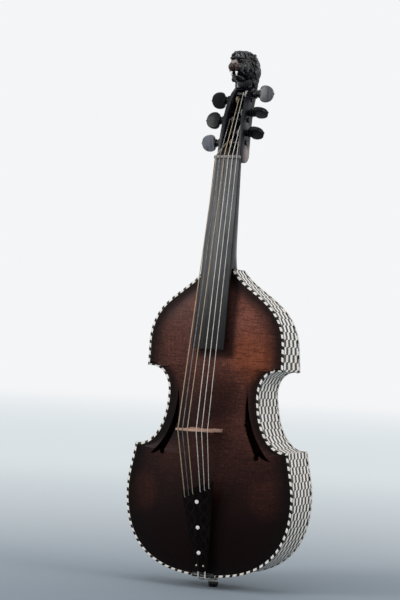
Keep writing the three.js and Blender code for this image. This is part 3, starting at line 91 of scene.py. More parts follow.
ARCH_MARGIN = 8 * MM
ARCH_POWER = 1.4
ARCH_RINGS = 18
BELLY_T = 3.2 * MM
BACK_T = 3 * MM
BEND_Z = 205 * MM
ROOT = sizes(depth=36, half=19)
GAP = 0.3 * MM
EDGING_W = 2.8 * MM
EDGING_ROUND = 0.7 * MM
OVERHANG = 1 * MM
RIB_T = 2 * MM
SADDLE = sizes(half=14, seat=2, l=5.5, top=4.6)
OVERRUN = 20 * MM
CORD_ROUNDNESS = 2
SPUN_SIDES = 40


def at(x, depth, height):
    return vec(x, BELLY_Y + depth, FOOT_Z + height)


# Modelling


def pick(piece):
    """Makes a piece the only one selected, and the active one."""
    bpy.ops.object.select_all(action="DESELECT")
    piece.select_set(True)
    bpy.context.view_layer.objects.active = piece
    return piece


def started(name):
    """The primitive that was just added, with its name."""
    piece = bpy.context.object
    piece.name = name
    piece.data.name = name
    return pick(piece)


def applied(name):
    """The same, with its place, turn and scale made part of its shape."""
    piece = started(name)
    bpy.ops.object.transform_apply(location=True, rotation=True, scale=True)
    return piece


def linked(name, data):
    """An object in the scene for a mesh, curve, camera or lamp."""
    made = bpy.data.objects.new(name, data)
    bpy.context.scene.collection.objects.link(made)
    return made


def modify(piece, kind, **settings):
    """Adds a modifier and applies it."""
    pick(piece)
    modifier = piece.modifiers.new(kind.title(), kind)
    for key, value in settings.items():
        setattr(modifier, key, value)
    bpy.ops.object.modifier_apply(modifier=modifier.name)
    return piece


def select_whole():
    bpy.ops.mesh.select_all(action="SELECT")


def in_edit(piece, *steps, mode="FACE"):
    """Runs edit-mode operators on a whole piece."""
    pick(piece)
    bpy.ops.object.mode_set(mode="EDIT")
    bpy.ops.mesh.select_mode(type=mode)
    for step in (select_whole, *steps):
        step()
    bpy.ops.object.mode_set(mode="OBJECT")
    return piece


def weld():
    bpy.ops.mesh.remove_doubles(threshold=GAP / 100)


def close_holes():
    bpy.ops.mesh.fill_holes(sides=0)


def face_outwards():
    bpy.ops.mesh.normals_make_consistent(inside=False)


def smooth(piece, degrees=35):
    pick(piece)
    bpy.ops.object.shade_smooth_by_angle(angle=radians(degrees))
    return piece


def soften(piece, width, segments=2, degrees=50, **settings):
    """Rounds a piece's sharp edges by a width in millimetres."""
    settings = {"segments": segments, "limit_method": "ANGLE", "harden_normals": False, **settings}
    return modify(piece, "BEVEL", width=width * MM, angle_limit=radians(degrees), **settings)


def settle(piece, finish, slot, *replaces, body="instrument"):
    """Gives a finished piece its material, the nodes it stands for and the body it rides on; its slot
    argument is not used.
    """
    if finish:
        piece.data.materials.clear()
        piece.data.materials.append(finish)
    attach(piece, body)
    if replaces:
        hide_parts(*replaces)
    return piece


def lengths(points):
    """The distance along a line of points, at each of them."""
    made = [0]
    for a, b in zip(points, points[1:]):
        made.append(made[-1] + (b - a).length)
    return made


def laid(name, rows, runs=None):
    """A grid laid through rows of points; its UV map holds metres along a row and down the rows."""
    columns = len(rows[0])
    bpy.ops.mesh.primitive_grid_add(x_subdivisions=columns - 1, y_subdivisions=len(rows) - 1, size=1)
    piece = started(name)
    runs = runs or lengths(rows[len(rows) // 2])
    falls = lengths([row[columns // 2] for row in rows])
    for vertex, point in zip(piece.data.vertices, [p for row in rows for p in row]):
        vertex.co = point
    for loop, corner in zip(piece.data.loops, piece.data.uv_layers[0].data):
        row, column = divmod(loop.vertex_index, columns)
        corner.uv = (runs[column], falls[row])
    return in_edit(piece, weld)


def boxed(name, low, high):
    """A block between two corners, to cut with or to add."""
    bpy.ops.mesh.primitive_cube_add(size=1, location=(low + high) / 2, scale=high - low)
    return applied(name)


def rod(name, radius, low, high, sides=32):
    """A round cutter or bar between two places."""
    run = high - low
    turn = run.to_track_quat("Z", "Y").to_euler()
    bpy.ops.mesh.primitive_cylinder_add(
        vertices=sides, radius=radius, depth=run.length, location=(low + high) / 2, rotation=turn
    )
    return applied(name)


def ball(name, place, scale=(1, 1, 1), turn=(0, 0, 0), segments=28, rings=16, radius=1):
    """An egg-shaped lump."""
    bpy.ops.mesh.primitive_uv_sphere_add(
        segments=segments, ring_count=rings, radius=radius, location=place, rotation=turn, scale=scale
    )
    return applied(name)


def slab(name, points, thick):
    """A flat face through points, made thick along a vector."""
    bpy.ops.mesh.primitive_circle_add(vertices=len(points), fill_type="NGON")
    piece = started(name)
    for vertex, point in zip(piece.data.vertices, points):
        vertex.co = point

    def extrude():
        bpy.ops.mesh.extrude_region_move(TRANSFORM_OT_translate={"value": thick})

    return in_edit(piece, extrude, select_whole, face_outwards)


def cut(piece, tool, operation="DIFFERENCE"):
    """A boolean with a tool piece, which is used up."""
    modify(piece, "BOOLEAN", operation=operation, object=tool, solver="EXACT")
    bpy.data.objects.remove(tool)
    return piece


def copied(name, node):
    """A new piece that starts as a CAD node's shape, its triangles merged into whole faces."""
    piece = linked(name, frame["nodes"][node].data.copy())
    piece.data.materials.clear()
    flat = radians(0.5)
    return in_edit(piece, weld, lambda: bpy.ops.mesh.dissolve_limited(angle_limit=flat))


def cord(name, points, radius):
    """A round cord along a route."""
    curve = bpy.data.curves.new(name, "CURVE")
    curve.dimensions = "3D"
    curve.bevel_depth = radius
    curve.bevel_resolution = CORD_ROUNDNESS
    curve.use_fill_caps = True
    spline = curve.splines.new("POLY")
    spline.points.add(len(points) - 1)
    for knot, point in zip(spline.points, points):
        knot.co = (*point, 1)
    pick(linked(name, curve))
    bpy.ops.object.convert(target="MESH")
    return smooth(bpy.context.object, 60)


def spun(name, profile):
    """A turned piece: a profile of (radius, reach) points spun about the X axis."""
    bpy.ops.mesh.primitive_circle_add(vertices=len(profile), fill_type="NOTHING")
    piece = started(name)
    for vertex, (radius, reach) in zip(piece.data.vertices, profile):
        vertex.co = (reach, radius, 0)

    def spin():
        bpy.ops.mesh.spin(steps=SPUN_SIDES, angle=2 * pi, center=(0, 0, 0), axis=(1, 0, 0))

    return smooth(in_edit(piece, spin, select_whole, weld, face_outwards, mode="EDGE"), 30)


# Outline, arch and back


def bezier(points, steps):
    """Points of a Bezier curve, its ends among them."""
    made = []
    for i in range(steps + 1):
        line = [Vector(p) for p in points]
        while len(line) > 1:
            line = [a.lerp(b, i / steps) for a, b in zip(line, line[1:])]
        made.append(line[0])
    return made


def mix(low, high, share):
    return low + (high - low) * share


def whole_outline():
    """(x, height) points from the foot round by the right, and each one's share of the arch's spine."""
    half, shares = [], []
    for k, (curve, steps) in enumerate(zip(OUTLINE_CURVES, OUTLINE_STEPS)):
        for i, point in enumerate(bezier(curve, steps)):
            if i or not k:
                half.append(point * MM)
                shares.append(mix(SPINE_SHARES[k], SPINE_SHARES[k + 1], i / steps))
    left = [vec(-p.x, p.y) for p in half[:0:-1]]
    return half + left, shares + shares[:0:-1]


OUTLINE, OUTLINE_SPINE = whole_outline()
HALF_COUNT = sum(OUTLINE_STEPS) + 1
OUTLINE_RUNS = lengths([*OUTLINE, OUTLINE[0]])


def inset(distance):
    """The outline moved inwards, mitred at its corners."""
    made = []
    for i, point in enumerate(OUTLINE):
        before = (point - OUTLINE[i - 1]).normalized()
        after = (OUTLINE[(i + 1) % len(OUTLINE)] - point).normalized()
        across = vec(-before.y - after.y, before.x + after.x)
        made.append(point + across * (distance / (1 + before.dot(after))))
    return made


def back_depth(height):
    """Depth of the back's outer face."""
    slope = (DEPTH - ROOT.depth) / (BODY_LENGTH - BEND_Z)
    return DEPTH - max(0, height - BEND_Z) * slope


def arch_rise(share, spine_share):
    swell = 1 - SPINE_SWELL * (1 - sin(pi * spine_share))
    return ARCH * swell * sin(pi / 2 * share) ** ARCH_POWER


def plate_rings(rim):
    """Closed rings of (x, height, rise) points from a plate's rim to its spine."""
    spine = [vec(0, mix(SPINE.low, SPINE.high, share)) for share in OUTLINE_SPINE]
    margin = [p + (s - p).normalized() * ARCH_MARGIN for p, s in zip(rim, spine)]
    rings = [[(p.x, p.y, 0) for p in rim]]
    for r in range(ARCH_RINGS + 1):
        share = r / ARCH_RINGS
        line = [m.lerp(s, share) for m, s in zip(margin, spine)]
        rings.append([(p.x, p.y, arch_rise(share, t)) for p, t in zip(line, OUTLINE_SPINE)])
    return [[*ring, ring[0]] for ring in rings]


MOUTH_HALF = ROOT.half - EDGING_W
MOUTH_Z = BODY_LENGTH - EDGING_W - GAP


def mouth():
    """The room between the ends of the edging at the neck."""
    low = at(-MOUTH_HALF, -OVERRUN, MOUTH_Z)
    return boxed("mouth", low, at(MOUTH_HALF, DEPTH + OVERRUN, BODY_LENGTH + OVERRUN))


def tongue(front, back):
    """The part of a plate that fills that room."""
    half = MOUTH_HALF - GAP
    return boxed("tongue", at(-half, front, MOUTH_Z - EDGING_W), at(half, back, BODY_LENGTH))


def saddle_seat():
    half = SADDLE.half + GAP
    return boxed("seat", at(-half, -OVERRUN, -OVERRUN), at(half, SADDLE.seat + GAP, SADDLE.l + GAP))


# Finishes


def operator(operation, swapped=False):
    """A method that makes a Math node of a wire and its other terms."""
    return lambda wire, *others: wire.maths(operation, *((*others, wire) if swapped else (wire, *others)))


class Wire:
    """A node's output, with arithmetic written as Python expressions."""

    def __init__(self, finish, socket):
        self.finish, self.socket = finish, socket

    def maths(self, operation, *terms):
        return self.finish.node("Math", dict(enumerate(terms)), operation=operation)

    __add__ = __radd__ = operator("ADD")
    __mul__ = __rmul__ = operator("MULTIPLY")
    __sub__ = operator("SUBTRACT")
    __rsub__ = operator("SUBTRACT", True)
    __truediv__ = operator("DIVIDE")
    __mod__ = operator("FLOORED_MODULO")
    __gt__ = operator("GREATER_THAN")
    __abs__ = operator("ABSOLUTE")
    floor = operator("FLOOR")
    wave = operator("SINE")
    lesser = operator("MINIMUM")
    greater = operator("MAXIMUM")

    def ramp(self, low, high, start=0, end=1):
        """start below low, end above high, and a smooth rise between them."""
        inputs = {"Value": self, "From Min": low, "From Max": high, "To Min": start, "To Max": end}
        return self.finish.node("MapRange", inputs, interpolation_type="SMOOTHSTEP")


COAT_ROUGHNESS = 0.16


class Finish:
    """A material, and the nodes behind its surface."""

    def __init__(self, name, roughness=0.5, shine=0.5, coat=0, metallic=0):
        self.material = bpy.data.materials.new(name)
        self.material.use_nodes = True
        self.tree = self.material.node_tree
        self.surface = self.tree.nodes["Principled BSDF"]
        values = {"Roughness": roughness, "Specular IOR Level": shine, "Metallic": metallic}
        values.update({"Coat Weight": coat, "Coat Roughness": COAT_ROUGHNESS})
        for key, value in values.items():
            self.surface.inputs[key].default_value = value

    def node(self, kind, inputs=None, output=0, **settings):
        """A node of a type, its settings made first, then its inputs set or linked."""
        made = self.tree.nodes.new("ShaderNode" + kind)
        for key, value in settings.items():
            setattr(made, key, value)
        for key, value in (inputs or {}).items():
            if isinstance(value, Wire):
                self.tree.links.new(value.socket, made.inputs[key])
            else:
                made.inputs[key].default_value = value
        return Wire(self, made.outputs[output])

    def feed(self, **wires):
        for key, wire in wires.items():
            self.tree.links.new(wire.socket, self.surface.inputs[key.replace("_", " ").title()])

    def skin(self, colour, roughness, height, depth, strength):
        """Feeds the surface; a height of 1 stands a depth in millimetres over 0. Returns the material."""
        bump = self.node("Bump", {"Strength": strength, "Distance": depth * MM, "Height": height})
        self.feed(base_color=colour, roughness=roughness, normal=bump)
        return self.material

    def place(self, scale=(1, 1, 1), centre=(0, 0, 0)):
        """Object coordinates, measured from a centre and scaled."""
        moved = self.node("Mapping", {0: self.node("TexCoord", output=3), 1: [-c for c in centre]})
        return self.node("Mapping", {0: moved, 3: scale})

    def parts(self, vector):
        """The three numbers of a vector."""
        split = self.node("SeparateXYZ", {0: vector}).socket.node
        return [Wire(self, socket) for socket in split.outputs]

    def here(self):
        """The place's x, depth and height."""
        return self.parts(self.place(centre=at(0, 0, 0)))

    def reach(self, centre, scale=(1, 1, 1)):
        """The distance from a centre, each direction scaled."""
        return self.node("VectorMath", {0: self.place(scale, centre)}, 1, operation="LENGTH")

    def run(self):
        """The UV map's two numbers, in metres on a laid piece."""
        return self.parts(self.node("UVMap", uv_map="UVMap"))[:2]

    def joined(self, x, y):
        return self.node("CombineXYZ", {0: x, 1: y})

    def noise(self, vector, detail=3, roughness=0.5, scale=1):
        """Noise over a vector, or over the place, where numbers say how fine it is along the axes."""
        if not isinstance(vector, Wire):
            vector = self.place(vector if isinstance(vector, tuple) else (vector,) * 3)
        inputs = {"Vector": vector, "Scale": scale, "Detail": detail, "Roughness": roughness}
        return self.node("TexNoise", inputs)

    def blend(self, share, low, high):
        """A colour between two others, each a colour or a wire."""
        low, high = [(*c, 1) if isinstance(c, tuple) else c for c in (low, high)]
        return self.node("Mix", {0: share, 6: low, 7: high}, 2, data_type="RGBA")


def ink(code):
    """A colour written as six hexadecimal digits, made linear."""
    parts = [int(code[i : i + 2], 16) / 255 for i in (0, 2, 4)]
    return tuple(p / 12.92 if p <= 0.04045 else ((p + 0.055) / 1.055) ** 2.4 for p in parts)


IVORY = ink("f3eee7")
IVORY_SHADE = ink("d9d0bf")
EBONY_DARK = ink("0a090b")
EBONY_BROWN = ink("1d1717")
BOARD_SHEEN_GREY = ink("606062")
PEG_SHEEN_GREY = ink("505156")
PEG_SHEEN_PALE = ink("7b7c84")
PEG_BLACK = ink("0c0c0e")
STAIN = ink("0b0c10")
STAIN_PALE = ink("23242b")
NUT_HIGHLIGHT_GREY = ink("6f6c6a")
NOSE_PALE = ink("8d8078")
SNOUT_RED = ink("3a1f1c")
HAIR_HIGHLIGHT_GREY = ink("b0b0ba")
VARNISH_RED = ink("70443a")
VARNISH_GLOW = ink("915746")
VARNISH_WARM = ink("7f432b")
VARNISH_DARK = ink("150a0a")
VARNISH_RIM = ink("0c0707")
WORN_RED = ink("6a3c30")
HEEL_HIGHLIGHT = ink("a3908f")
SPRUCE_PALE = ink("4d3623")
SPRUCE_LINE = ink("2e1f14")
BRIDGE_PALE = ink("b08d7a")
BRIDGE_FLECK = ink("7d5746")
BRIDGE_SHADE = ink("5e4640")
GUT_PALE = ink("dcd8cf")
GUT_DARK = ink("a39c8e")
TAN_PALE = ink("b8a78c")
TAN_DARK = ink("86755c")
SILVER = ink("8d8a88")
SILVER_DARK = ink("4a4744")

# Each cloud's middle across and up the plate and its reach, in millimetres, then how much paler and warmer
# On the belly the pale, warm clouds are painted sheen, brightest at the upper right beside the board; the
# two with a negative paleness are darker patches
BELLY_CLOUDS = [
    (56, 270, 44, 0.26, 0.9),
    (38, 330, 44, 0.5, 0.1),
    (-34, 345, 36, 0.2, 0),
    (-92, 98, 32, 0.12, 0.6),
    (79, 100, 30, 0.12, 0.6),
    (13, 215, 36, -0.32, 0),
    (-46, 195, 48, -0.22, 0),
]
BACK_CLOUDS = [(-34, 290, 60, 0.25, 0.3), (42, 130, 70, 0.25, 0.4), (0, 215, 40, -0.12, 0)]
# Heights over which painted shade darkens the varnish towards the foot, and widths over which painted light
# pales it towards the right
PAINTED_SHADE_Z = (50 * MM, 360 * MM)
PAINTED_LIGHT_X = (-80 * MM, 70 * MM)
# The painted shadow of the fingerboard on the belly: its middle across, its half widths, full and faded, and
# the heights where it starts
BOARD_SHADE_X = 5 * MM
BOARD_SHADE_HALF = (20 * MM, 29 * MM)
BOARD_SHADE_Z = (262 * MM, 270 * MM)
DARK_RIM = (3 * MM, 21 * MM)


def cloud_at(x, z, middle_x, middle_z, reach):
    """1 in the middle of a round cloud and 0 beyond its reach."""
    across, up = x - middle_x * MM, z - middle_z * MM
    return (across * across + up * up).ramp(0, (reach * MM) ** 2, 1, 0)


def varnished_plate(name, clouds, board_shadow=0):
    """Red-brown varnish, crackled, paler and warmer in clouds, dark at the rim, with painted shade towards
    the foot, painted light towards the right and a painted shadow beside the board.
    """
    f = Finish(name, roughness=0.34, shine=0.06)
    _, fall = f.run()
    grain = f.noise((700, 700, 22), 4, 0.6)
    crackle = f.noise((70, 70, 620), 4, 0.65)
    mesh = f.noise((380, 380, 460), 2)
    drift = f.noise((16, 16, 12))
    x, _, z = f.here()
    # Painted shade makes the varnish darker towards the foot, and painted light makes it paler towards the
    # right
    height = z.ramp(*PAINTED_SHADE_Z)
    tone = (drift.ramp(0.3, 0.7, 0, 0.35) + 0.3) * height + x.ramp(*PAINTED_LIGHT_X) * height * 0.3
    warmth = height * 0
    for *spot, pale, warm in clouds:
        cloud = cloud_at(x, z, *spot) * drift.ramp(0.3, 0.6, 0.5, 1)
        tone = tone + cloud * pale
        warmth = warmth + cloud * warm
    tone = tone.lesser(1).greater(0)
    wood = f.blend(tone, VARNISH_DARK, f.blend(warmth, VARNISH_RED, VARNISH_WARM))
    # Paler mottling that grows with the tone, so it is strongest where painted sheen and painted light pale
    # the varnish
    wood = f.blend(mesh.ramp(0.5, 0.7, 0, 0.6) * tone, wood, VARNISH_GLOW)
    lines = crackle.ramp(0.5, 0.62, 0, 0.5).greater(grain.ramp(0.52, 0.66, 0, 0.4))
    wood = f.blend(lines, wood, VARNISH_DARK)
    # Painted shadow of the fingerboard, under the board and along its right side; the last argument of this
    # function sets how dark it is
    beside = abs(x - BOARD_SHADE_X).ramp(*BOARD_SHADE_HALF, board_shadow, 0) * z.ramp(*BOARD_SHADE_Z)
    wood = f.blend(beside, wood, VARNISH_DARK)
    colour = f.blend(fall.ramp(*DARK_RIM, 1, 0) * 0.92, wood, VARNISH_RIM)
    return f.skin(colour, mesh.ramp(0.3, 0.8, 0.28, 0.44), 1 - lines, 0.05, 0.5)


def ivory_and_ebony(f, tone, grain):
    """The colours of inlaid blocks, from a tone for each block and a grain."""
    ivory = f.blend(tone.ramp(0.3, 0.7, 0, 0.5) + grain * 0.2, IVORY, IVORY_SHADE)
    return ivory, f.blend(grain * 0.6, EBONY_DARK, EBONY_BROWN)


BLOCK = sizes(l=9.2, w=5.5)
EDGE_BLOCK_L = 9.4 * MM
EDGE_SLANT = 45
EDGE_WHITE = 0.52
EDGE_BLUR = 0.3 * MM


def chequered_veneer():
    """Ivory and ebony blocks in alternate rows, with fine joints between them."""
    f = Finish("chequered_veneer", roughness=0.36, shine=0.2, coat=0.08)
    run, fall = f.run()
    sway = f.noise(160, 2).ramp(0, 1, -0.5, 0.5)
    bow = (fall * (2 * pi / BLOCK.w)).wave() * 0.05
    along = run / BLOCK.l + sway * 0.12 + bow
    across = fall / BLOCK.w + sway * 0.1
    cell = along.floor() + across.floor()
    dark = (cell % 2) > 0.5
    edge_u = abs(along % 1 - 0.5)
    edge_v = abs(across % 1 - 0.5)
    joint = edge_u.ramp(0.465, 0.5).greater(edge_v.ramp(0.45, 0.5))
    tone = f.noise(f.joined(along.floor(), across.floor()), 0, scale=3.7)
    grain = f.noise(f.joined(run * 60, fall * 1500))
    blocks = f.blend(dark, *ivory_and_ebony(f, tone, grain))
    colour = f.blend(joint * 0.75, blocks, EBONY_BROWN)
    return f.skin(colour, grain.ramp(0.2, 0.8, 0.3, 0.45), 1 - joint, 0.12, 0.8)


def edge_blocks(name, thick, side):
    """Ivory blocks with slanted ends set in ebony round a plate's edge, whose side is plain."""
    f = Finish(name, roughness=0.35, shine=0.2, coat=0.08)
    run, fall = f.run()
    sway = f.noise(120, 2).ramp(0, 1, -0.5, 0.5)
    along = run / EDGE_BLOCK_L + fall * EDGE_SLANT + sway * 0.14
    place = abs(along % 1 - 0.5)
    white = place.ramp(EDGE_WHITE / 2 + 0.03, EDGE_WHITE / 2, 0, 1)
    joint = abs(place - EDGE_WHITE / 2).ramp(0, 0.05, 1, 0)
    grain = f.noise(f.joined(run * 80, fall * 1500))
    tone = f.noise(f.joined(along.floor(), 0), 0, scale=3.7)
    ivory, ebony = ivory_and_ebony(f, tone, grain)
    turned = EDGING_W - EDGING_ROUND + EDGING_ROUND * pi / 2
    past = turned + thick - 2 * EDGING_ROUND
    beside = fall.ramp(turned - EDGE_BLUR, turned) * fall.ramp(past, past + EDGE_BLUR, 1, 0)
    colour = f.blend(beside, f.blend(white, ebony, ivory), f.blend(grain * 0.6, side, EBONY_BROWN))
    return f.skin(colour, grain.ramp(0.2, 0.8, 0.28, 0.42), 1 - joint, 0.2, 0.8)


# Heights over which polished ebony takes on its painted sheen
SHEEN_Z = (270 * MM, 500 * MM)


def polished_ebony(name="polished_ebony", high=EBONY_DARK, shine=0.3, coat=0.2, head=0):
    """Near-black streaked wood with a painted sheen of another tone higher up; where head is given, only
    beyond that reach.
    """
    f = Finish(name, roughness=0.32, shine=shine, coat=coat)
    streak = f.noise((260, 260, 9), 3, 0.6)
    pore = f.noise((1800, 1800, 160), 2)
    wear = f.noise((45, 45, 30), 3, 0.55)
    x, _, z = f.here()
    share = z.ramp(*SHEEN_Z) * wear.ramp(0.2, 0.7, 0.6, 1)
    if head:
        share = share * abs(x).ramp(head, head + 0.8 * MM)
    painted_sheen = f.blend(share, EBONY_DARK, high)
    colour = f.blend(streak.ramp(0.45, 0.8, 0, 0.8), painted_sheen, EBONY_BROWN)
    return f.skin(colour, wear.ramp(0.3, 0.75, 0.24, 0.42), pore.ramp(0.55, 0.7), 0.05, 0.5)


NUT = sizes(z=510, l=3.8, top=3.2, drop=0.9, half=17, spread=13.8)
FINGERBOARD = sizes(end_z=276, end_depth=-24.6, end_half=21.2, drop=2.6, t=5.4)
# Height at which the fingerboard's painted sheen becomes full
BOARD_SHEEN_Z = 470 * MM
BOARD_TAPER = (FINGERBOARD.end_half - NUT.half) / (NUT.z - FINGERBOARD.end_z)


def sheen_grey_board():
    """Ebony with a painted sheen, grey on its playing face, the more the nearer to the nut, and black down
    its sides.
    """
    f = Finish("fingerboard_ebony", roughness=0.34, shine=0.12)
    streak = f.noise((420, 420, 9), 3, 0.6)
    wear = f.noise((60, 60, 18), 3, 0.55)
    x, _, z = f.here()
    half = FINGERBOARD.end_half - (z - FINGERBOARD.end_z) * BOARD_TAPER
    face = (abs(x) / half).ramp(0.95, 0.985, 1, 0)
    # Painted sheen, grey on the playing face and rising towards the nut
    painted_sheen = z.ramp(FINGERBOARD.end_z, BOARD_SHEEN_Z, 0.12, 1) * wear.ramp(0.25, 0.7, 0.7, 1) * face
    colour = f.blend(streak.ramp(0.5, 0.75, 0, 0.5), f.blend(painted_sheen, EBONY_DARK, BOARD_SHEEN_GREY), EBONY_BROWN)
    return f.skin(colour, wear.ramp(0.3, 0.75, 0.28, 0.44), streak, 0.05, 0.5)


INTERLACE = sizes(half=7.7, turn=31)
INTERLACE_WIDENS = 0.12


def carved_ebony():
    """Ebony with a cut band of interlace: two crossing waves down each side of the ridge."""
    f = Finish("carved_ebony", roughness=0.3, shine=0.03)
    x, _, z = f.here()
    half = z * INTERLACE_WIDENS + INTERLACE.half
    side = abs(x) / half
    turn = z * (2 * pi / INTERLACE.turn)
    one, other = [abs(side - 0.5 - angle.wave() * 0.3) for angle in (turn, turn + pi)]
    cords = one.lesser(other)
    rope = cords.ramp(0.05, 0.1, 1, 0).greater(abs(side - 0.93).ramp(0.015, 0.04, 1, 0) * 0.7)
    wear = f.noise(90)
    streak = f.noise((260, 260, 9), 3, 0.6)
    # The cords are coloured a little paler as a painted highlight
    colour = f.blend(streak.ramp(0.45, 0.8, 0, 0.5) + rope * 0.3, VARNISH_RIM, EBONY_BROWN)
    return f.skin(colour, wear.ramp(0.3, 0.7, 0.26, 0.44) - rope * 0.06, rope, 0.5, 0.8)


# Middle and reach of the pale painted highlight on the cheeks at the foot of the pegbox
HEEL = at(0, 32 * MM, 515 * MM)
HEEL_REACH = 19 * MM
HEEL_CHEEK = (3 * MM, 11.5 * MM)
BARED_FROM_Z = (508 * MM, 514 * MM)
BARED_TO_Z = (530 * MM, 575 * MM)


def blackened_wood(name="blackened_wood", brown=0.0):
    """Black-stained maple that shows brown where the stain is thin, with a pale painted highlight at the
    foot of the pegbox.
    """
    f = Finish(name, roughness=0.36, shine=0.12, coat=0.08)
    thin = f.noise((42, 42, 26), 4, 0.6)
    grain = f.noise((900, 900, 60), 3, 0.6)
    speck = f.noise(520, 3, 0.6)
    x, _, z = f.here()
    heel = f.reach(HEEL, (0, 1, 1))
    stained = f.blend(speck.ramp(0.5, 0.7), STAIN, STAIN_PALE)
    # Painted highlight, pale on the outside of the cheeks near the foot of the pegbox
    heel_highlight_share = heel.ramp(HEEL_REACH / 4, HEEL_REACH, 0.85, 0) * abs(x).ramp(*HEEL_CHEEK, 0.12, 1)
    stained = f.blend(heel_highlight_share * thin.ramp(0.3, 0.6, 0.5, 1), stained, HEEL_HIGHLIGHT)
    bared = thin.ramp(0.42, 0.62, 0.1, 1) * z.ramp(*BARED_FROM_Z) * z.ramp(*BARED_TO_Z, 1, 0.25)
    colour = f.blend(bared * brown, stained, WORN_RED)
    return f.skin(colour, thin.ramp(0.3, 0.7, 0.28, 0.46), grain * 0.3 + speck * 0.7, 0.2, 0.8)


YEAR_RING = 1.6 * MM


def bare_spruce():
    """Spruce brown with age, with its darker year lines, for what is inside the body."""
    f = Finish("bare_spruce", roughness=0.72, shine=0.25)
    x, _, _ = f.parts(f.place())
    wander = f.noise((30, 30, 4), 2)
    lines = (x * (2 * pi / YEAR_RING) + wander * 6).wave().ramp(0.2, 1)
    fibre = f.noise((2400, 2400, 60))
    colour = f.blend(lines * 0.6 + fibre * 0.25, SPRUCE_PALE, SPRUCE_LINE)
    return f.skin(colour, fibre.ramp(0.2, 0.8, 0.62, 0.8), fibre, 0.06, 0.6)


BRIDGE_SHADE_X = 36 * MM


def bridge_maple():
    """Maple with short brown flecks that lie along the bridge, with painted shade making it darker towards
    its treble end.
    """
    f = Finish("bridge_maple", roughness=0.5, shine=0.3)
    fleck = f.noise((240, 1500, 1500), 2)
    tone = f.noise(60)
    x, _, _ = f.here()
    share = fleck.ramp(0.6, 0.72, 0, 0.8) + tone.ramp(0.3, 0.8, 0, 0.3)
    wood = f.blend(share, BRIDGE_PALE, BRIDGE_FLECK)
    # Painted shade, darker towards the treble end
    colour = f.blend(x.ramp(0, BRIDGE_SHADE_X, 0, 0.7), wood, BRIDGE_SHADE)
    return f.skin(colour, tone.ramp(0.2, 0.8, 0.42, 0.6), fleck, 0.05, 0.5)


def twisted_gut(name, pale, dark, pitch, metallic=0.0):
    """A cord whose strands wind round it, at a pitch in millimetres."""
    f = Finish(name, roughness=0.4, shine=0.4, metallic=metallic)
    x, y, z = f.parts(f.place())
    wind = (z + x * 0.8 + y * 0.8) * (2 * pi / (pitch * MM))
    strands = wind.wave().ramp(-1, 1)
    tone = f.noise(120)
    colour = f.blend(strands * 0.45 + tone.ramp(0.3, 0.7, 0, 0.5), pale, dark)
    return f.skin(colour, tone.ramp(0.2, 0.8, 0.34, 0.5), strands, 0.08, 0.7)


HEAD_MIDDLE = at(0, 47 * MM, 629.5 * MM)
HEAD_SIZE = vec(17 * MM, 22 * MM, 21 * MM)
NOSE = at(0, 12 * MM, 631 * MM)
SNOUT = at(0, 13 * MM, 624.5 * MM)
NOSE_EDGE = (5 * MM, 8.5 * MM)
SNOUT_EDGE = (5 * MM, 9.5 * MM)
EDGE_WANDER = 4 * MM
MANE_DEPTH = (36 * MM, 40 * MM)
MANE_Z = (612 * MM, 620 * MM)
CROWN_Z = (636 * MM, 640 * MM)


def carved_head():
    """Black stain with painted grey highlights on the tops of the hair, pale wood on the nose and red-brown
    under it.
    """
    f = Finish("carved_head", roughness=0.32, shine=0.14, coat=0.4)
    grain = f.noise((700, 700, 120), 3, 0.6)
    mottle = f.noise(440, 3, 0.6)
    nose = f.reach(NOSE)
    snout = f.reach(SNOUT, (0.7, 0.7, 1.25))
    skin = f.reach(HEAD_MIDDLE, [1 / size for size in HEAD_SIZE])
    _, y, z = f.here()
    red = (snout + mottle * EDGE_WANDER).ramp(*SNOUT_EDGE, 0.65, 0)
    pale = (nose + mottle * EDGE_WANDER).ramp(*NOSE_EDGE, 0.9, 0)
    mane = skin.ramp(1.1, 1.18, 1, 0) * y.ramp(*MANE_DEPTH) * z.ramp(*MANE_Z)
    # Painted highlights, grey on the tops of the curls and locks
    hair_highlight = skin.ramp(0.98, 1.04) * mane.greater(z.ramp(*CROWN_Z)) * mottle.ramp(0.52, 0.62)
    black = f.blend(grain.ramp(0.4, 0.8, 0, 0.6), EBONY_DARK, EBONY_BROWN)
    black = f.blend(hair_highlight * 0.5, black, HAIR_HIGHLIGHT_GREY)
    colour = f.blend(pale, f.blend(red, black, SNOUT_RED), NOSE_PALE)
    return f.skin(colour, mottle.ramp(0.3, 0.7, 0.24, 0.4), grain * 0.5 + mottle * 0.5, 0.08, 0.5)


def old_ivory():
    """Ivory gone faintly yellow in long streaks."""
    f = Finish("old_ivory", roughness=0.3, shine=0.4, coat=0.15)
    tone = f.noise((160, 160, 500))
    colour = f.blend(tone.ramp(0.4, 0.8, 0, 0.7), IVORY, IVORY_SHADE)
    return f.skin(colour, tone.ramp(0.2, 0.8, 0.25, 0.38), tone, 0.03, 0.4)


# The belly has the painted shadow beside the fingerboard, at a strength of 0.8
BELLY_FINISH = varnished_plate("belly_varnish", BELLY_CLOUDS, 0.8)
BACK_FINISH = varnished_plate("back_varnish", BACK_CLOUDS)
CHEQUER = chequered_veneer()
BELLY_BLOCKS = edge_blocks("belly_edge_blocks", BELLY_T, EBONY_DARK)
BACK_BLOCKS = edge_blocks("back_edge_blocks", BACK_T, IVORY)
EBONY = polished_ebony()
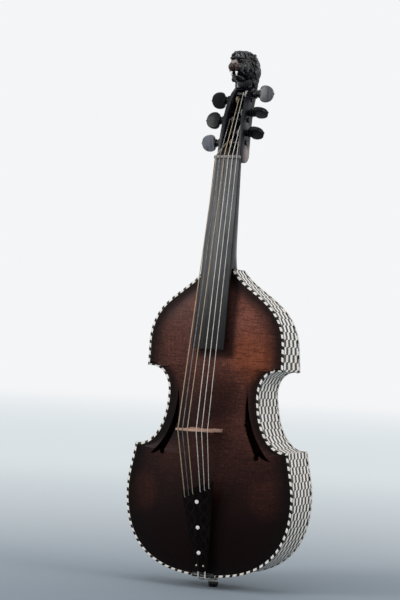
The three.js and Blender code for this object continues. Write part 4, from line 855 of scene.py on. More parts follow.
# The nut's grey is a painted highlight
NUT_EBONY = polished_ebony("nut_ebony", NUT_HIGHLIGHT_GREY)
BLACK_PEG = polished_ebony("black_peg_ebony", PEG_BLACK, 0.08, 0.06)
BOARD = sheen_grey_board()
CARVED = carved_ebony()
BLACK = blackened_wood()
WORN = blackened_wood("worn_edges", 0.85)
SPRUCE = bare_spruce()
MAPLE = bridge_maple()
GUT = twisted_gut("plain_gut", GUT_PALE, GUT_DARK, 1.3)
TAN_GUT = twisted_gut("tan_gut", TAN_PALE, TAN_DARK, 1.3)
WOUND = twisted_gut("wound_string", SILVER, SILVER_DARK, 0.5, 0.6)
IVORY_FINISH = old_ivory()
LION = carved_head()


# Body


def rounded(points, steps=4):
    """A smooth line through points, ends included."""
    ends = [points[0] * 2 - points[1], *points, points[-1] * 2 - points[-2]]
    made = [points[0]]
    for a, b, c, d in zip(ends, ends[1:], ends[2:], ends[3:]):
        for i in range(1, steps + 1):
            t = i / steps
            near = b * 2 + (c - a) * t + (a * 2 - b * 5 + c * 4 - d) * t**2
            made.append((near + (b * 3 - a - c * 3 + d) * t**3) / 2)
    return made


def facing(piece, direction):
    """Turns an open piece's faces towards a direction."""
    in_edit(piece, face_outwards)
    total = sum((face.normal * face.area for face in piece.data.polygons), Vector())
    if total.dot(direction) < 0:
        in_edit(piece, bpy.ops.mesh.flip_normals)
    return piece


PLATE_RIM = inset(EDGING_W + GAP)
FRONT = vec(0, -1, 0)


def arched_plate(name, thickness):
    """The belly's arched face with a thickness behind it."""
    rows = [[at(x, -rise, z) for x, z, rise in ring] for ring in plate_rings(PLATE_RIM)]
    return modify(facing(laid(name, rows), FRONT), "SOLIDIFY", thickness=thickness, offset=-1)


HOLE_TOP = (46.5 * MM, 227 * MM)
HOLE_TIP = (80 * MM, 144.5 * MM)
LOBE = (0.475, 0.046)
LOBE_R = 3.4 * MM
LOBE_STEPS = 14
# Where the lobe's round starts and how far it runs, in turns
LOBE_START = 0.09
LOBE_TURN = 0.67


def sound_hole(side):
    """A cutter for one sound hole, its outline drawn as shares of the box between its top and its tip."""

    def spot(u, v):
        return vec(mix(HOLE_TOP[0], HOLE_TIP[0], u), mix(HOLE_TIP[1], HOLE_TOP[1], v))

    def curve(shares, steps):
        return bezier([spot(*share) for share in shares], steps)

    points = curve([(0, 1), (0.01, 0.67), (0.22, 0.29), (1, 0)], 18)
    points += curve([(1, 0), (0.73, 0.012), (0.567, 0.069)], 6)[1:]
    for i in range(LOBE_STEPS + 1):
        angle = 2 * pi * (LOBE_START - LOBE_TURN * i / LOBE_STEPS)
        points.append(spot(*LOBE) + vec(cos(angle), sin(angle)) * LOBE_R)
    points += curve([(0.39, 0.075), (0.12, 0.27), (-0.02, 0.42), (-0.045, 0.485)], 12)
    points += [spot(-0.1, 0.503), spot(-0.06, 0.524)]
    points += curve([(-0.06, 0.524), (-0.1, 0.7), (-0.09, 0.87), (0, 1)], 12)[1:-1]
    front = -ARCH - OVERRUN
    return slab("hole", [at(p.x * side, front, p.y) for p in points], vec(0, OVERRUN / 2 - front, 0))


def make_belly():
    piece = arched_plate("belly", BELLY_T)
    cut(piece, tongue(0, BELLY_T), "UNION")
    cut(piece, saddle_seat())
    for side in (1, -1):
        cut(piece, sound_hole(side))
    settle(smooth(soften(piece, 0.3, 1), 40), BELLY_FINISH, "varnish", "top_plate")


def make_back():
    """The flat back, cut across where it bends and its upper part leant forward."""
    rings = plate_rings(PLATE_RIM)
    rows = [[at(x, DEPTH, z) for x, z, _ in ring] for ring in (rings[0], rings[1], rings[-1])]
    piece = modify(facing(laid("back", rows), -FRONT), "SOLIDIFY", thickness=BACK_T, offset=-1)
    cut(piece, tongue(DEPTH - BACK_T, DEPTH), "UNION")
    in_edit(piece, lambda: bpy.ops.mesh.bisect(plane_co=at(0, 0, BEND_Z), plane_no=(0, 0, 1)))
    for vertex in piece.data.vertices:
        vertex.co.y += back_depth(vertex.co.z - FOOT_Z) - DEPTH
    settle(smooth(soften(piece, 0.3, 1), 20), BACK_FINISH, "varnish", "back_plate")


def band(name, section, first, last, side=1):
    """A closed section, its points as insets and depths, carried along a stretch of the outline."""
    rows = []
    for distance, depth in section:
        line = inset(distance)
        line = [*line, line[0]][first : last + 1]
        rows.append([at(p.x * side, depth(p.y), p.y) for p in line])
    return in_edit(laid(name, [*rows, rows[0]], OUTLINE_RUNS[first : last + 1]), face_outwards)


def border_section(thick, start):
    """A border's section as insets and depths: square where it meets the plate, rounded outside."""
    r = EDGING_ROUND
    turns = [pi / 2 * i / 3 for i in range(4)]
    front = [(r - r * sin(a), r - r * cos(a)) for a in turns]
    back = [(r - r * cos(a), thick - r + r * sin(a)) for a in turns]
    points = [(EDGING_W, 0), *front, *back, (EDGING_W, thick)]
    return [(distance, lambda z, depth=depth: start(z) + depth) for distance, depth in points]


def make_borders():
    """The strips of ivory and ebony blocks let in round both plates."""
    belly = band("belly_border", border_section(BELLY_T, lambda z: 0), 0, len(OUTLINE))
    cut(cut(belly, mouth()), saddle_seat())
    settle(smooth(belly, 50), BELLY_BLOCKS, "edging", "top_edging")
    back = band("back_border", border_section(BACK_T, lambda z: back_depth(z) - BACK_T), 0, len(OUTLINE))
    settle(smooth(cut(back, mouth()), 50), BACK_BLOCKS, "edging", "back_edging")


BUTTON = sizes(depth=30, stem_r=3.2, stem_l=13, drop=14.5, neck_r=3.6, foot_r=5.2)


def make_ribs():
    """Six bent ribs, veneered outside and unveneered inside, each cornering with the next."""
    corners = [0, LOWER_CORNER, UPPER_CORNER, HALF_COUNT - 1]
    inner = OVERHANG + RIB_T

    def front(z):
        return BELLY_T + GAP

    def back(z):
        return back_depth(z) - BACK_T - GAP

    section = [(OVERHANG, front), (OVERHANG, back), (inner, back), (inner, front)]
    for bout, first, last in zip(("lower", "middle", "upper"), corners, corners[1:]):
        for hand, side in (("right", 1), ("left", -1)):
            piece = band(f"{bout}_{hand}_rib", section, first, last, side)
            piece.data.materials.append(CHEQUER)
            piece.data.materials.append(SPRUCE)
            for face in piece.data.polygons:
                face.material_index = int(face.index >= last - first)
            in_edit(piece, close_holes, face_outwards)
            if bout == "lower":
                bottom, top = [at(0, BUTTON.depth, z) for z in (-OVERRUN, OVERRUN)]
                cut(piece, rod("bore", BUTTON.stem_r + GAP, bottom, top))
            settle(smooth(piece, 30), None, "chequer", f"{bout}_rib_{hand}")


# Neck, pegbox, nut and fingerboard

ACTION_AT_NUT = 0.9 * MM
NECK_FRONT = sizes(low=0.6, high=9.2)
NECK_FOOT = BODY_LENGTH + GAP
SLOTS = {row["node"]: row["material_slot"] for row in frame["record"]["subparts"]}


def make_neck():
    """Neck and open pegbox in one, black, with the edges of its cheeks brown from wear."""
    piece = copied("neck_and_pegbox", "neck")
    piece.data.materials.append(BLACK)
    piece.data.materials.append(WORN)
    settle(smooth(soften(piece, 0.6, material=1)), None, "black_wood", "neck")


def make_fingerboard():
    rows = []
    board = FINGERBOARD
    for z in (board.end_z, BODY_LENGTH - GAP, NECK_FOOT, NUT.z - GAP):
        share = (z - board.end_z) / (NUT.z - board.end_z)
        half = mix(board.end_half, NUT.half, share)
        top = mix(board.end_depth, NUT.top + ACTION_AT_NUT, share)
        floor = top + board.t
        if z >= NECK_FOOT:
            floor = mix(NECK_FRONT.low, NECK_FRONT.high, (z - NECK_FOOT) / (NUT.z - NECK_FOOT)) - GAP
        across = [i / 12 - 1 for i in range(25)]
        row = [at(-half, floor, z), *[at(half * u, top + board.drop * u * u, z) for u in across]]
        rows.append([*row, at(half, floor, z), row[0]])
    piece = in_edit(laid("polished_fingerboard", rows), close_holes, face_outwards)
    settle(smooth(soften(piece, 0.5, 3, 40), 30), BOARD, "ebony", "fingerboard")


def make_small_fittings():
    """Nut and saddle, their edges eased."""
    for name, node, finish in (("ebony_nut", "nut", NUT_EBONY), ("ebony_saddle", "saddle", EBONY)):
        settle(smooth(soften(copied(name, node), 0.35)), finish, SLOTS[node], node)


# Strings' seats, bridge, tailpiece and end button

BRIDGE = sizes(z=178.5, top=55.8, fall=7.2, half=24.6, crown_t=2.2, spread=20.2)
BRIDGE_FOOT = sizes(t=4.4, half=20, w=11, h=5)
BRIDGE_SIDE = [(0.98, 0.83), (0.9, 0.76), (0.72, 0.7), (0.63, 0.58), (0.65, 0.45), (0.74, 0.37)]
BRIDGE_ARCH = [(0.31, 0.37), (0.2, 0.43), (0.07, 0.46)]
BRIDGE_HEART = [(0, 0.54), (0.14, 0.64), (0.17, 0.7), (0.1, 0.75), (0, 0.71)]
BASS_STRING_R = 0.62 * MM
# Each string's thickness and its places on nut and bridge, as shares
STRING_SHARES = [(1, -1, -1), (0.92, -0.6, -0.64), (0.84, -0.2, -0.29)]
STRING_SHARES += [(0.76, 0.2, 0.29), (0.68, 0.6, 0.61), (0.6, 1, 0.93)]
TAIL = sizes(low_z=8, low_depth=-13.4, high_z=111, high_depth=-34.8, skew=8, t=3.8, ridge=3.6)
TAIL_HALF = sizes(low=8.6, high=21)
TAIL_HOLE = sizes(r=1.5, setback=8)
TAIL_HOLLOW_SHARE = 0.4
TAIL_SPREAD_SHARE = 0.8
TAIL_END_SHARE = 0.04
TAIL_END_WIDTH = 0.72
GUT_HOLE = sizes(x=4.4, r=2.1)
GUT_HOLE_Z = TAIL.low_z + 7 * MM
GUT_R = 1 * MM
DOT = sizes(r=2.4, sunk=0.8, proud=0.15)
DOT_HEIGHTS = [92.5 * MM, 61.4 * MM, 30.6 * MM]
BUTTON_GROOVE_SHARE = 0.25
# The button's neck, its bulge and the ring's section, as shares of the neck's radius and of the drop
BUTTON_NECK = [(1.3, 0.12), (1, 0.16), (1, 0.34)]
BUTTON_BULGE = [(1.5, 0.38), (1.72, 0.5), (1.78, 0.72), (1.6, 0.9)]
RING_SECTION = [(1.3, 0.4), (1.62, 0.4), (1.79, 0.52), (1.3, 0.52), (1.3, 0.4)]


def nut_depth(x):
    return NUT.top + NUT.drop * (x / NUT.half) ** 2


def crown_depth(x):
    return -BRIDGE.top + BRIDGE.fall * (x / BRIDGE.half) ** 2


def tail_half(share):
    return mix(TAIL_HALF.low, TAIL_HALF.high, share)


def tail_depth(x, z, fall=1):
    """The tailpiece's face, ridged along its middle; with a smaller fall, its hollow underside."""
    share = (z - TAIL.low_z) / (TAIL.high_z - TAIL.low_z)
    return mix(TAIL.low_depth, TAIL.high_depth, share) + fall * TAIL.ridge * abs(x) / tail_half(share)


def tail_edge(x):
    return TAIL.high_z + TAIL.skew * x / TAIL_HALF.high


STRINGS = []
for thickness, at_nut, at_bridge in STRING_SHARES:
    tail_x = TAIL_HALF.high * TAIL_SPREAD_SHARE * at_bridge
    tail_z = tail_edge(tail_x) - TAIL_HOLE.setback
    string = Named(nut_x=NUT.spread * at_nut, bridge_x=BRIDGE.spread * at_bridge)
    string.radius = BASS_STRING_R * thickness
    string.tail = (tail_x, tail_depth(tail_x, tail_z), tail_z)
    STRINGS.append(string)


def mirrored(points):
    return [vec(-p.x, p.y) for p in reversed(points)]


def crown_line():
    """The bridge's crown from left to right, with a notch under each string."""

    def crown(x):
        return vec(x, crown_depth(x))

    points = [crown(-BRIDGE.half)]
    for string in STRINGS:
        x, r = string.bridge_x, string.radius + GAP
        points.append(crown(x - 2.5 * r))
        for i in range(7):
            angle = pi * i / 6
            points.append(vec(x - cos(angle) * r, crown_depth(x) + sin(angle) * r))
        points.append(crown(x + 2.5 * r))
    return [p for p in points if abs(p.x) <= BRIDGE.half] + [crown(BRIDGE.half)]


def make_bridge():
    """Bridge with a heart and two waisted flanks, its feet cut to the belly's arch."""

    def spots(shares):
        return [vec(BRIDGE.half * u, -BRIDGE.top * v) for u, v in shares]

    foot_top = -ARCH - BRIDGE_FOOT.h
    inner_x = BRIDGE_FOOT.half - BRIDGE_FOOT.w
    crown = crown_line()
    flank = rounded([crown[-1], *spots(BRIDGE_SIDE), vec(BRIDGE_FOOT.half, foot_top)])[1:]
    foot = [vec(BRIDGE_FOOT.half, 0), vec(inner_x, 0)]
    right = [*flank, *foot, *rounded([vec(inner_x, foot_top), *spots(BRIDGE_ARCH)])]
    outline = [*crown, *right, *mirrored(right)]
    heart = rounded(spots(BRIDGE_HEART))
    heart += mirrored(heart)[1:-1]
    low, thick = BRIDGE.z - BRIDGE_FOOT.t / 2, vec(0, 0, BRIDGE_FOOT.t)
    piece = slab("carved_bridge", [at(p.x, p.y, low) for p in outline], thick)
    hole = [at(p.x, p.y, low - OVERRUN) for p in heart]
    cut(piece, slab("heart", hole, thick + vec(0, 0, 2 * OVERRUN)))
    middle = FOOT_Z + BRIDGE.z
    for vertex in piece.data.vertices:
        share = (BELLY_Y - vertex.co.y) / BRIDGE.top
        half = mix(BRIDGE_FOOT.t, BRIDGE.crown_t, share) / 2
        vertex.co.z = middle + copysign(half, vertex.co.z - middle)
    cut(piece, arched_plate("under_feet", OVERRUN))
    settle(smooth(soften(piece, 0.3)), MAPLE, "bridge_wood", "bridge")


def make_tailpiece():
    """Ridged tailpiece with its strings' holes, the tail gut's two holes and three ivory dots."""
    across = [i / 8 - 1 for i in range(17)]
    rows = []
    for share in [0, 0.01, 0.02, *[mix(TAIL_END_SHARE, 1, i / 12) for i in range(13)]]:
        end = min(1, share / TAIL_END_SHARE)
        half = tail_half(share) * mix(TAIL_END_WIDTH, 1, sqrt(1 - (1 - end) ** 2))
        places = [(half * u, mix(TAIL.low_z, tail_edge(half * u), share)) for u in across]
        face = [at(x, tail_depth(x, z), z) for x, z in places]
        under = [at(x, tail_depth(x, z, TAIL_HOLLOW_SHARE) + TAIL.t, z) for x, z in reversed(places)]
        rows.append([*face, *under, face[0]])
    piece = in_edit(laid("carved_tailpiece", rows), close_holes, face_outwards)
    reach = vec(0, OVERRUN, 0)
    holes = [(TAIL_HOLE.r, string.tail) for string in STRINGS]
    holes += [(GUT_HOLE.r, (x, tail_depth(x, GUT_HOLE_Z), GUT_HOLE_Z)) for x in (-GUT_HOLE.x, GUT_HOLE.x)]
    for radius, place in holes:
        cut(piece, rod("hole", radius, at(*place) - reach, at(*place) + reach))
    settle(smooth(soften(piece, 0.5), 30), CARVED, "ebony", "tailpiece")
    rake = vec(0, TAIL.high_depth - TAIL.low_depth, TAIL.high_z - TAIL.low_z).normalized()
    out = vec(0, -rake.z, rake.y)
    for number, z in enumerate(DOT_HEIGHTS, 1):
        middle = at(0, tail_depth(0, z), z)
        dot = rod(f"tailpiece_dot_{number}", DOT.r, middle - out * DOT.sunk, middle + out * DOT.proud, 40)
        settle(smooth(soften(dot, 0.1, 2, 40), 30), IVORY_FINISH, "edging")


def make_end_button():
    """Turned end button, axis upright, with an ivory ring let into its shoulder."""

    def line(shares):
        return [(BUTTON.neck_r * u, BUTTON.drop * v) for u, v in shares]

    neck = line(BUTTON_NECK)
    bulge = rounded([Vector(p) for p in line(BUTTON_BULGE)], 5)
    profile = [(0, -BUTTON.stem_l), (BUTTON.stem_r, -BUTTON.stem_l), (BUTTON.stem_r, GAP), (neck[0][0], GAP)]
    profile += [*neck, *bulge, (BUTTON.foot_r, BUTTON.drop), (0, BUTTON.drop)]
    down = Matrix.Translation(at(0, BUTTON.depth, 0)) @ Matrix.Rotation(pi / 2, 4, "Y")
    for name, points, *finish in (
        ("turned_end_button", profile, EBONY, "ebony", "end_button"),
        ("ivory_ring", line(RING_SECTION), IVORY_FINISH, "edging"),
    ):
        piece = spun(name, points)
        piece.data.transform(down)
        settle(piece, *finish)


def make_tail_loop():
    """The gut loop from the tailpiece over the saddle and round the end button."""
    lie = GUT_R + GAP
    bend_r = BUTTON.neck_r + lie
    under = -BUTTON.drop * BUTTON_GROOVE_SHARE
    foot = tail_depth(0, GUT_HOLE_Z) + TAIL.t
    right = [
        (foot - TAIL.t / 2, GUT_HOLE_Z),
        (foot, GUT_HOLE_Z - lie / 2),
        (foot + TAIL.ridge, GUT_HOLE_Z - lie),
        (-SADDLE.top - lie, SADDLE.l / 2),
        (-SADDLE.top - lie, 0),
        (-SADDLE.top / 2, -lie),
        (SADDLE.top, under),
    ]
    right = [*[(GUT_HOLE.x, *place) for place in right], (bend_r, BUTTON.depth - bend_r, under)]
    bend = []
    for i in range(13):
        angle = pi * i / 12
        bend.append((cos(angle) * bend_r, BUTTON.depth + sin(angle) * bend_r, under))
    route = [at(*p) for p in [*right, *bend, *[(-a, b, c) for a, b, c in reversed(right)]]]
    settle(cord("gut_tail_loop", rounded(route, 3), GUT_R), GUT, "gut", "tailgut")


# Pegs and strings

PEGBOX = sizes(foot_z=506, top_z=604, half_low=16.6, half_top=12.6, front_low=11.5, back_top=62.5)
CHEEK_T = 4.4 * MM
PEG = sizes(r=3.75, tip_r=3, proud=1.6, eased=0.4, pip_r=1.5)
COLLAR = sizes(gap=2.2, r=5.6)
COLLAR_BEADS = [(0, 0.68), (0.1, 1), (0.32, 1), (0.42, 0.74)]
COLLAR_BEADS += [(0.55, 0.66), (0.66, 0.9), (0.84, 0.9), (1, 0.6)]
THUMB = sizes(h=21, l=17, t=5.6, sink=1.2, place=35.3)
WINDING_GAP = 0.45 * MM
TURNS = 2
TURN_STEPS = 48
# Each peg's side, its place across and along the pegbox, its thumb piece's place and its string's as shares,
# the way that its string winds, and its turn
PEG_ROWS = [
    (-1, 0.304, 0.265, 1, 0.638, -1, 0.04),
    (-1, 0.402, 0.561, 0.935, 0.845, -1, -0.02),
    (-1, 0.604, 0.833, 0.895, 0.26, 1, 0.03),
    (1, 0.657, 0.912, 0.912, 0.269, 1, 0),
    (1, 0.473, 0.659, 0.839, 0.85, -1, 0.19),
    (1, 0.333, 0.392, 0.805, 0.696, -1, 0.17),
]
STRING_FINISHES = [(TAN_GUT, "gut"), (WOUND, "wound_gut"), (TAN_GUT, "gut"), *[(GUT, "gut")] * 3]


def cheek_outer(height):
    share = (height - PEGBOX.foot_z) / (PEGBOX.top_z - PEGBOX.foot_z)
    return mix(PEGBOX.half_low, PEGBOX.half_top, share)


PEGS = []
for string, (side, across, along, head, slot, way, turn) in enumerate(PEG_ROWS):
    height = mix(PEGBOX.foot_z, PEGBOX.top_z, along)
    depth = mix(PEGBOX.front_low, PEGBOX.back_top, across)
    slot *= cheek_outer(height) - CHEEK_T
    peg = Named(string=string, side=side, depth=depth, height=height, slot=slot, way=way, turn=turn)
    peg.head = THUMB.place * head
    PEGS.append(peg)


def thumb_outline(head):
    """Half a thumb piece's outline, heart-shaped inside and round outside."""
    low, high, half = head - THUMB.l / 2, head + THUMB.l / 2, THUMB.h / 2
    crest = vec(mix(low, high, 0.36), half)
    shoulder = [(low + THUMB.sink, 0), (low - THUMB.sink, half * 0.3), (low - THUMB.sink, half), crest]
    crown = [crest, (mix(crest.x, high, 0.6), half), (high, half * 0.6), (high, 0)]
    return bezier(shoulder, 12) + bezier(crown, 12)[1:]


# Pegs 1 and 4 have a painted reflection, pale on one and grey on the other, on their thumb pieces
SHEEN_PEGS = {
    number: polished_ebony(name, tone, 0.2, 0.1, PEGS[number - 1].head - THUMB.l / 2)
    for number, name, tone in ((1, "pale_peg_ebony", PEG_SHEEN_PALE), (4, "worn_peg_ebony", PEG_SHEEN_GREY))
}


def make_peg(number, peg):
    """A tapered peg with a turned collar and a flat thumb piece, modelled along X and set in its hole."""
    wall = cheek_outer(peg.height)
    tip = -wall - PEG.proud
    collar_start, collar_end = wall + COLLAR.gap, peg.head - THUMB.l / 2 + THUMB.sink
    beads = [vec(COLLAR.r * v, mix(collar_start, collar_end, u)) for u, v in COLLAR_BEADS]
    profile = [(0, tip), (PEG.tip_r - PEG.eased, tip), (PEG.tip_r, tip + PEG.eased)]
    profile += [(PEG.r, wall), (PEG.r, collar_start), *rounded(beads, 3), (0, collar_end)]
    piece = spun(f"carved_peg_{number}", profile)
    upper = thumb_outline(peg.head)
    lower = [vec(p.x, -p.y) for p in upper[-2:0:-1]]
    low = vec(0, -THUMB.t / 2, 0)
    thumb = slab("thumb", [low + vec(p.x, 0, p.y) for p in [*upper, *lower]], vec(0, THUMB.t, 0))
    cut(piece, soften(thumb, 1.9, 4, 60), "UNION")
    pip = ball("pip", (peg.head + THUMB.l / 2, 0, 0), segments=20, rings=10, radius=PEG.pip_r)
    cut(piece, pip, "UNION")
    piece.data.transform(peg_place(peg))
    finish = SHEEN_PEGS.get(number, BLACK_PEG)
    settle(smooth(piece, 30), finish, "ebony", f"peg_{number}", body=f"tuning_peg_{number}")


def peg_place(peg):
    flip = Matrix.Rotation(0 if peg.side > 0 else pi, 4, "Z")
    turn = Matrix.Rotation(2 * pi * peg.turn, 4, "X")
    return Matrix.Translation(at(0, peg.depth, peg.height)) @ turn @ flip


def shaft_radius(peg, reach):
    """A peg's radius at a reach towards its head."""
    wall = cheek_outer(peg.height)
    return mix(PEG.r, PEG.tip_r, (wall - reach) / (2 * wall))


def make_turns(number, peg):
    """The turns of a string round its peg."""
    r = STRINGS[peg.string].radius
    pitch = 2 * r + WINDING_GAP
    start = peg.slot + peg.way * pitch
    points = []
    for i in range(TURNS * TURN_STEPS + 1):
        turn = i / TURN_STEPS
        reach = start + peg.way * pitch * turn
        radius = shaft_radius(peg, reach) + GAP + r
        angle = 2 * pi * turn + pi
        points.append(peg_place(peg) @ vec(reach, radius * cos(angle), radius * sin(angle)))
    piece = cord(f"string_turns_{peg.string + 1}", points, r)
    settle(piece, *STRING_FINISHES[peg.string], f"winding_{peg.string + 1}", body=f"tuning_peg_{number}")


def touch_point(depth, height, peg, radius):
    """Where a line from the nut meets the front of a circle round a peg's axis."""
    to_axis = vec(peg.depth - depth, peg.height - height)
    reach = to_axis.length
    turn = asin(radius / reach)
    c, s = cos(turn), sin(turn)
    run = vec(c * to_axis.x - s * to_axis.y, s * to_axis.x + c * to_axis.y)
    run *= sqrt(reach**2 - radius**2) / reach
    return depth + run.x, height + run.y


def make_string(peg):
    """A string from its hole in the tailpiece over bridge and nut to its peg."""
    string = STRINGS[peg.string]
    r = string.radius
    nut_front = nut_depth(string.nut_x)
    touch = touch_point(nut_front, NUT.z + NUT.l, peg, shaft_radius(peg, peg.slot) + GAP + r)
    x, depth, z = string.tail
    crown = crown_depth(string.bridge_x)
    half = BRIDGE.crown_t / 2
    route = [
        (x, depth + TAIL.t, z - r),
        (x, depth + TAIL.t / 2, z - r / 2),
        (x, depth - r - GAP / 2, z + TAIL_HOLE.r / 2),
        (string.bridge_x, crown, BRIDGE.z - half),
        (string.bridge_x, crown, BRIDGE.z + half),
        (string.nut_x, nut_front, NUT.z),
        (string.nut_x, nut_front, NUT.z + NUT.l),
        (peg.side * peg.slot, *touch),
    ]
    piece = cord(f"strung_{peg.string + 1}", [at(*p) for p in route], r)
    settle(piece, *STRING_FINISHES[peg.string], f"string_{peg.string + 1}")


# Lion's head

HEAD_FOOT = PEGBOX.top_z + GAP
HEAD_SEAT = sizes(half=10.5, front=46, back=62, sunk=2)
CARVING = 0.36 * MM
# Middle and half sizes as shares of the head's, and a tilt in degrees; a lump off the middle has a twin
FACE_LUMPS = [
    [(0, 0.05, 0), (0.88, 0.9, 0.88), 0],
    [(0, -0.7, 0), (0.66, 0.56, 0.66), 0],
    [(0, -1.0, 0.1), (0.27, 0.62, 0.24), 8],
    [(0.25, -1.2, -0.2), (0.33, 0.44, 0.29), 4],
    [(0.5, -0.78, -0.12), (0.28, 0.42, 0.36), 0],
    [(0, -0.9, 0.5), (0.4, 0.4, 0.26), 12],
    [(0, -0.84, -0.8), (0.4, 0.62, 0.17), -4],
    [(0, -1.22, -0.74), (0.31, 0.3, 0.12), 0],
    [(0, 0.36, -0.79), (0.74, 0.6, 0.67), 0],
    [(0, 0.3, -0.35), (0.88, 0.7, 0.6), 0],
]
CARVED_LUMPS = [
    [(0, -1.55, 0.0), (0.27, 0.17, 0.15), 12],
    [(0.35, -1.13, 0.22), (0.13, 0.13, 0.11), 0],
    [(0.34, -1.12, 0.36), (0.24, 0.2, 0.09), 6],
    [(0, -1.42, -0.84), (0.11, 0.2, 0.15), 24],
    [(0, -1.5, -0.98), (0.155, 0.17, 0.165), 0],
    [(0.4, -1.06, -0.5), (0.12, 0.36, 0.07), -10],
]
HOLLOWS = [
    [(0, -1.42, -0.56), (0.4, 0.62, 0.09), 6],
    [(0.35, -1.27, 0.24), (0.17, 0.11, 0.11), 0],
]
NOSTRIL = [(0.15, -1.68, -0.06), (0.085, 0.1, 0.035), 0]
FANG_SHARES = (0.2, -1.52, -0.63)
FANG = sizes(l=5.4, r=1.6)
FANG_TILT = 8
CURL = sizes(r=2.5, thick=1.1, rise=1.3)
CURL_TURNS = 1.35
CURL_THINS = 0.4
CURL_CLOSES = 0.9
CURL_STEPS = 30
CURL_SIDES = 8
# Rows of curls and locks: share of the skin's reach, how many, and the first and last angle in half turns
CURL_SKIN = vec(0.9, 0.92, 0.9)
CURL_ROWS = [(-0.64, 7, 0.0, 1.0), (-0.36, 9, -0.1, 1.1), (-0.06, 9, -0.04, 1.04), (0.24, 7, 0.06, 0.94)]
BROW_MIDDLE = vec(0, -0.88, 0.44)
BROW_SKIN = vec(0.52, 0.44, 0.32)
BROW_ROWS = [(0.1, 6, 0.0, 1.0), (-0.62, 4, 0.1, 0.9)]
EAR_SHARES = (0.68, -0.02, 0.6)
EAR_SIZE = (3.4 * MM, 1.9 * MM, 4 * MM)
EAR_CUP = (2.1 * MM, 1.4 * MM, 2.7 * MM)
EAR_CUP_PLACE = (0.3 * MM, 0.4 * MM)
EAR_TURN = (-10, 34)
LOCK_L = 16 * MM
LOCK_W = 1.9 * MM
# A lock's strands: place across it and length as shares; then how a strand is shaped, as shares of its width
STRANDS = [(-1.05, 0.9), (0, 1), (1.05, 0.86)]
STRAND = Named(narrow=0.62, tapers=0.8, sways=0.7, gathers=0.9, thins=0.5, droops=1.6)
LOCK_SKIN = vec(0.96, 0.92, 0.86)
LOCK_ROWS = [(0.12, 12, -0.3, 1.3), (0.42, 12, -0.27, 1.27), (0.66, 10, -0.3, 1.3), (0.86, 7, -0.26, 1.26)]
LOCK_FALL = vec(0, 0.5, -1)
# Rows down the nape: height, half width, reach back and how many
NAPE_MIDDLE = 54 * MM
NAPE_ROWS = [(624, 16, 13.4, 12), (616, 13.8, 13, 12), (608.5, 12.6, 12.4, 12)]


def headed(shares):
    """A place on or in the head, from its shares of the head's half sizes."""
    return HEAD_MIDDLE + Vector(share * size for share, size in zip(shares, HEAD_SIZE))


def sided(side, shares):
    return headed((side * shares[0], *shares[1:]))


def balls(name, middle, size, tilt):
    """A lump of the head, or one on each side when its middle is off the centre line."""
    scale = [share * half for share, half in zip(size, HEAD_SIZE)]
    turn = (radians(tilt), 0, 0)
    return [ball(name, sided(side, middle), scale, turn) for side in ((1, -1) if middle[0] else (1,))]


def joined_pieces(name, pieces, lead):
    """Pieces made one object with the lead one."""
    pick(lead)
    for piece in pieces:
        piece.select_set(True)
    bpy.ops.object.join()
    return started(name)


def fused(pieces, rounds):
    """Pieces that run into each other made one skin, with its seams softened."""
    piece = joined_pieces("carved_lion_head", pieces, pieces[0])
    modify(piece, "REMESH", mode="VOXEL", voxel_size=CARVING, use_smooth_shade=True)
    return modify(piece, "SMOOTH", factor=0.5, iterations=rounds)


def on_skin(skin, share, angle, middle=vec(0, 0, 0)):
    """A place on an egg-shaped skin, at a share of its reach and an angle, and the way out there."""
    ring = sqrt(1 - share**2)
    out = vec(cos(angle) * ring, share, sin(angle) * ring)
    return headed(middle + skin * out), Vector(o / h for o, h in zip(out, HEAD_SIZE)).normalized()


def set_down(pattern, place, out, along, size=1):
    """A copy of a pattern, which lies along X with its top towards Z, set on the skin."""
    along = (along - out * along.dot(out)).normalized()
    turn = Matrix((along, out.cross(along), out)).transposed().to_4x4()
    piece = linked("lock", pattern.data.copy())
    piece.data.transform(Matrix.Translation(place) @ turn @ Matrix.Scale(size, 4))
    return piece


def curl_pattern():
    """A snail of hair: a tapered tube that winds inwards and rises to its middle."""
    rows = []
    for i in range(CURL_SIDES):
        around = 2 * pi * i / CURL_SIDES
        row = []
        for k in range(CURL_STEPS + 1):
            share = k / CURL_STEPS
            turn = 2 * pi * CURL_TURNS * share
            out = vec(cos(turn), sin(turn), 0)
            thick = CURL.thick * (1 - CURL_THINS * share)
            middle = out * CURL.r * (1 - CURL_CLOSES * share) + vec(0, 0, CURL.rise * share)
            row.append(middle + out * thick * cos(around) + vec(0, 0, thick * sin(around)))
        rows.append(row)
    return in_edit(laid("curl", [*rows, rows[0]]), close_holes, face_outwards)


def lock_pattern():
    """A lock of three strands side by side, each bent into an S and drawn out to a point."""
    strands = []
    for place, size in STRANDS:
        strand = ball("strand", (0, 0, 0), turn=(0, pi / 2, 0), segments=12, rings=20)
        strand.data.transform(Matrix.Diagonal((LOCK_L / 2 * size, LOCK_W * STRAND.narrow, LOCK_W, 1)))
        for vertex in strand.data.vertices:
            run = vertex.co.x / LOCK_L
            sway = sin(run * 2 * pi) * LOCK_W * STRAND.sways
            vertex.co.y = vertex.co.y * (1 - run * STRAND.tapers) + sway
            vertex.co.y += place * LOCK_W * (1 - run * STRAND.gathers)
            droop = run * run * LOCK_W * STRAND.droops
            vertex.co.z = vertex.co.z * (1 - run * STRAND.thins) - droop
        strands.append(strand)
    return joined_pieces("lock", strands, strands[-1])


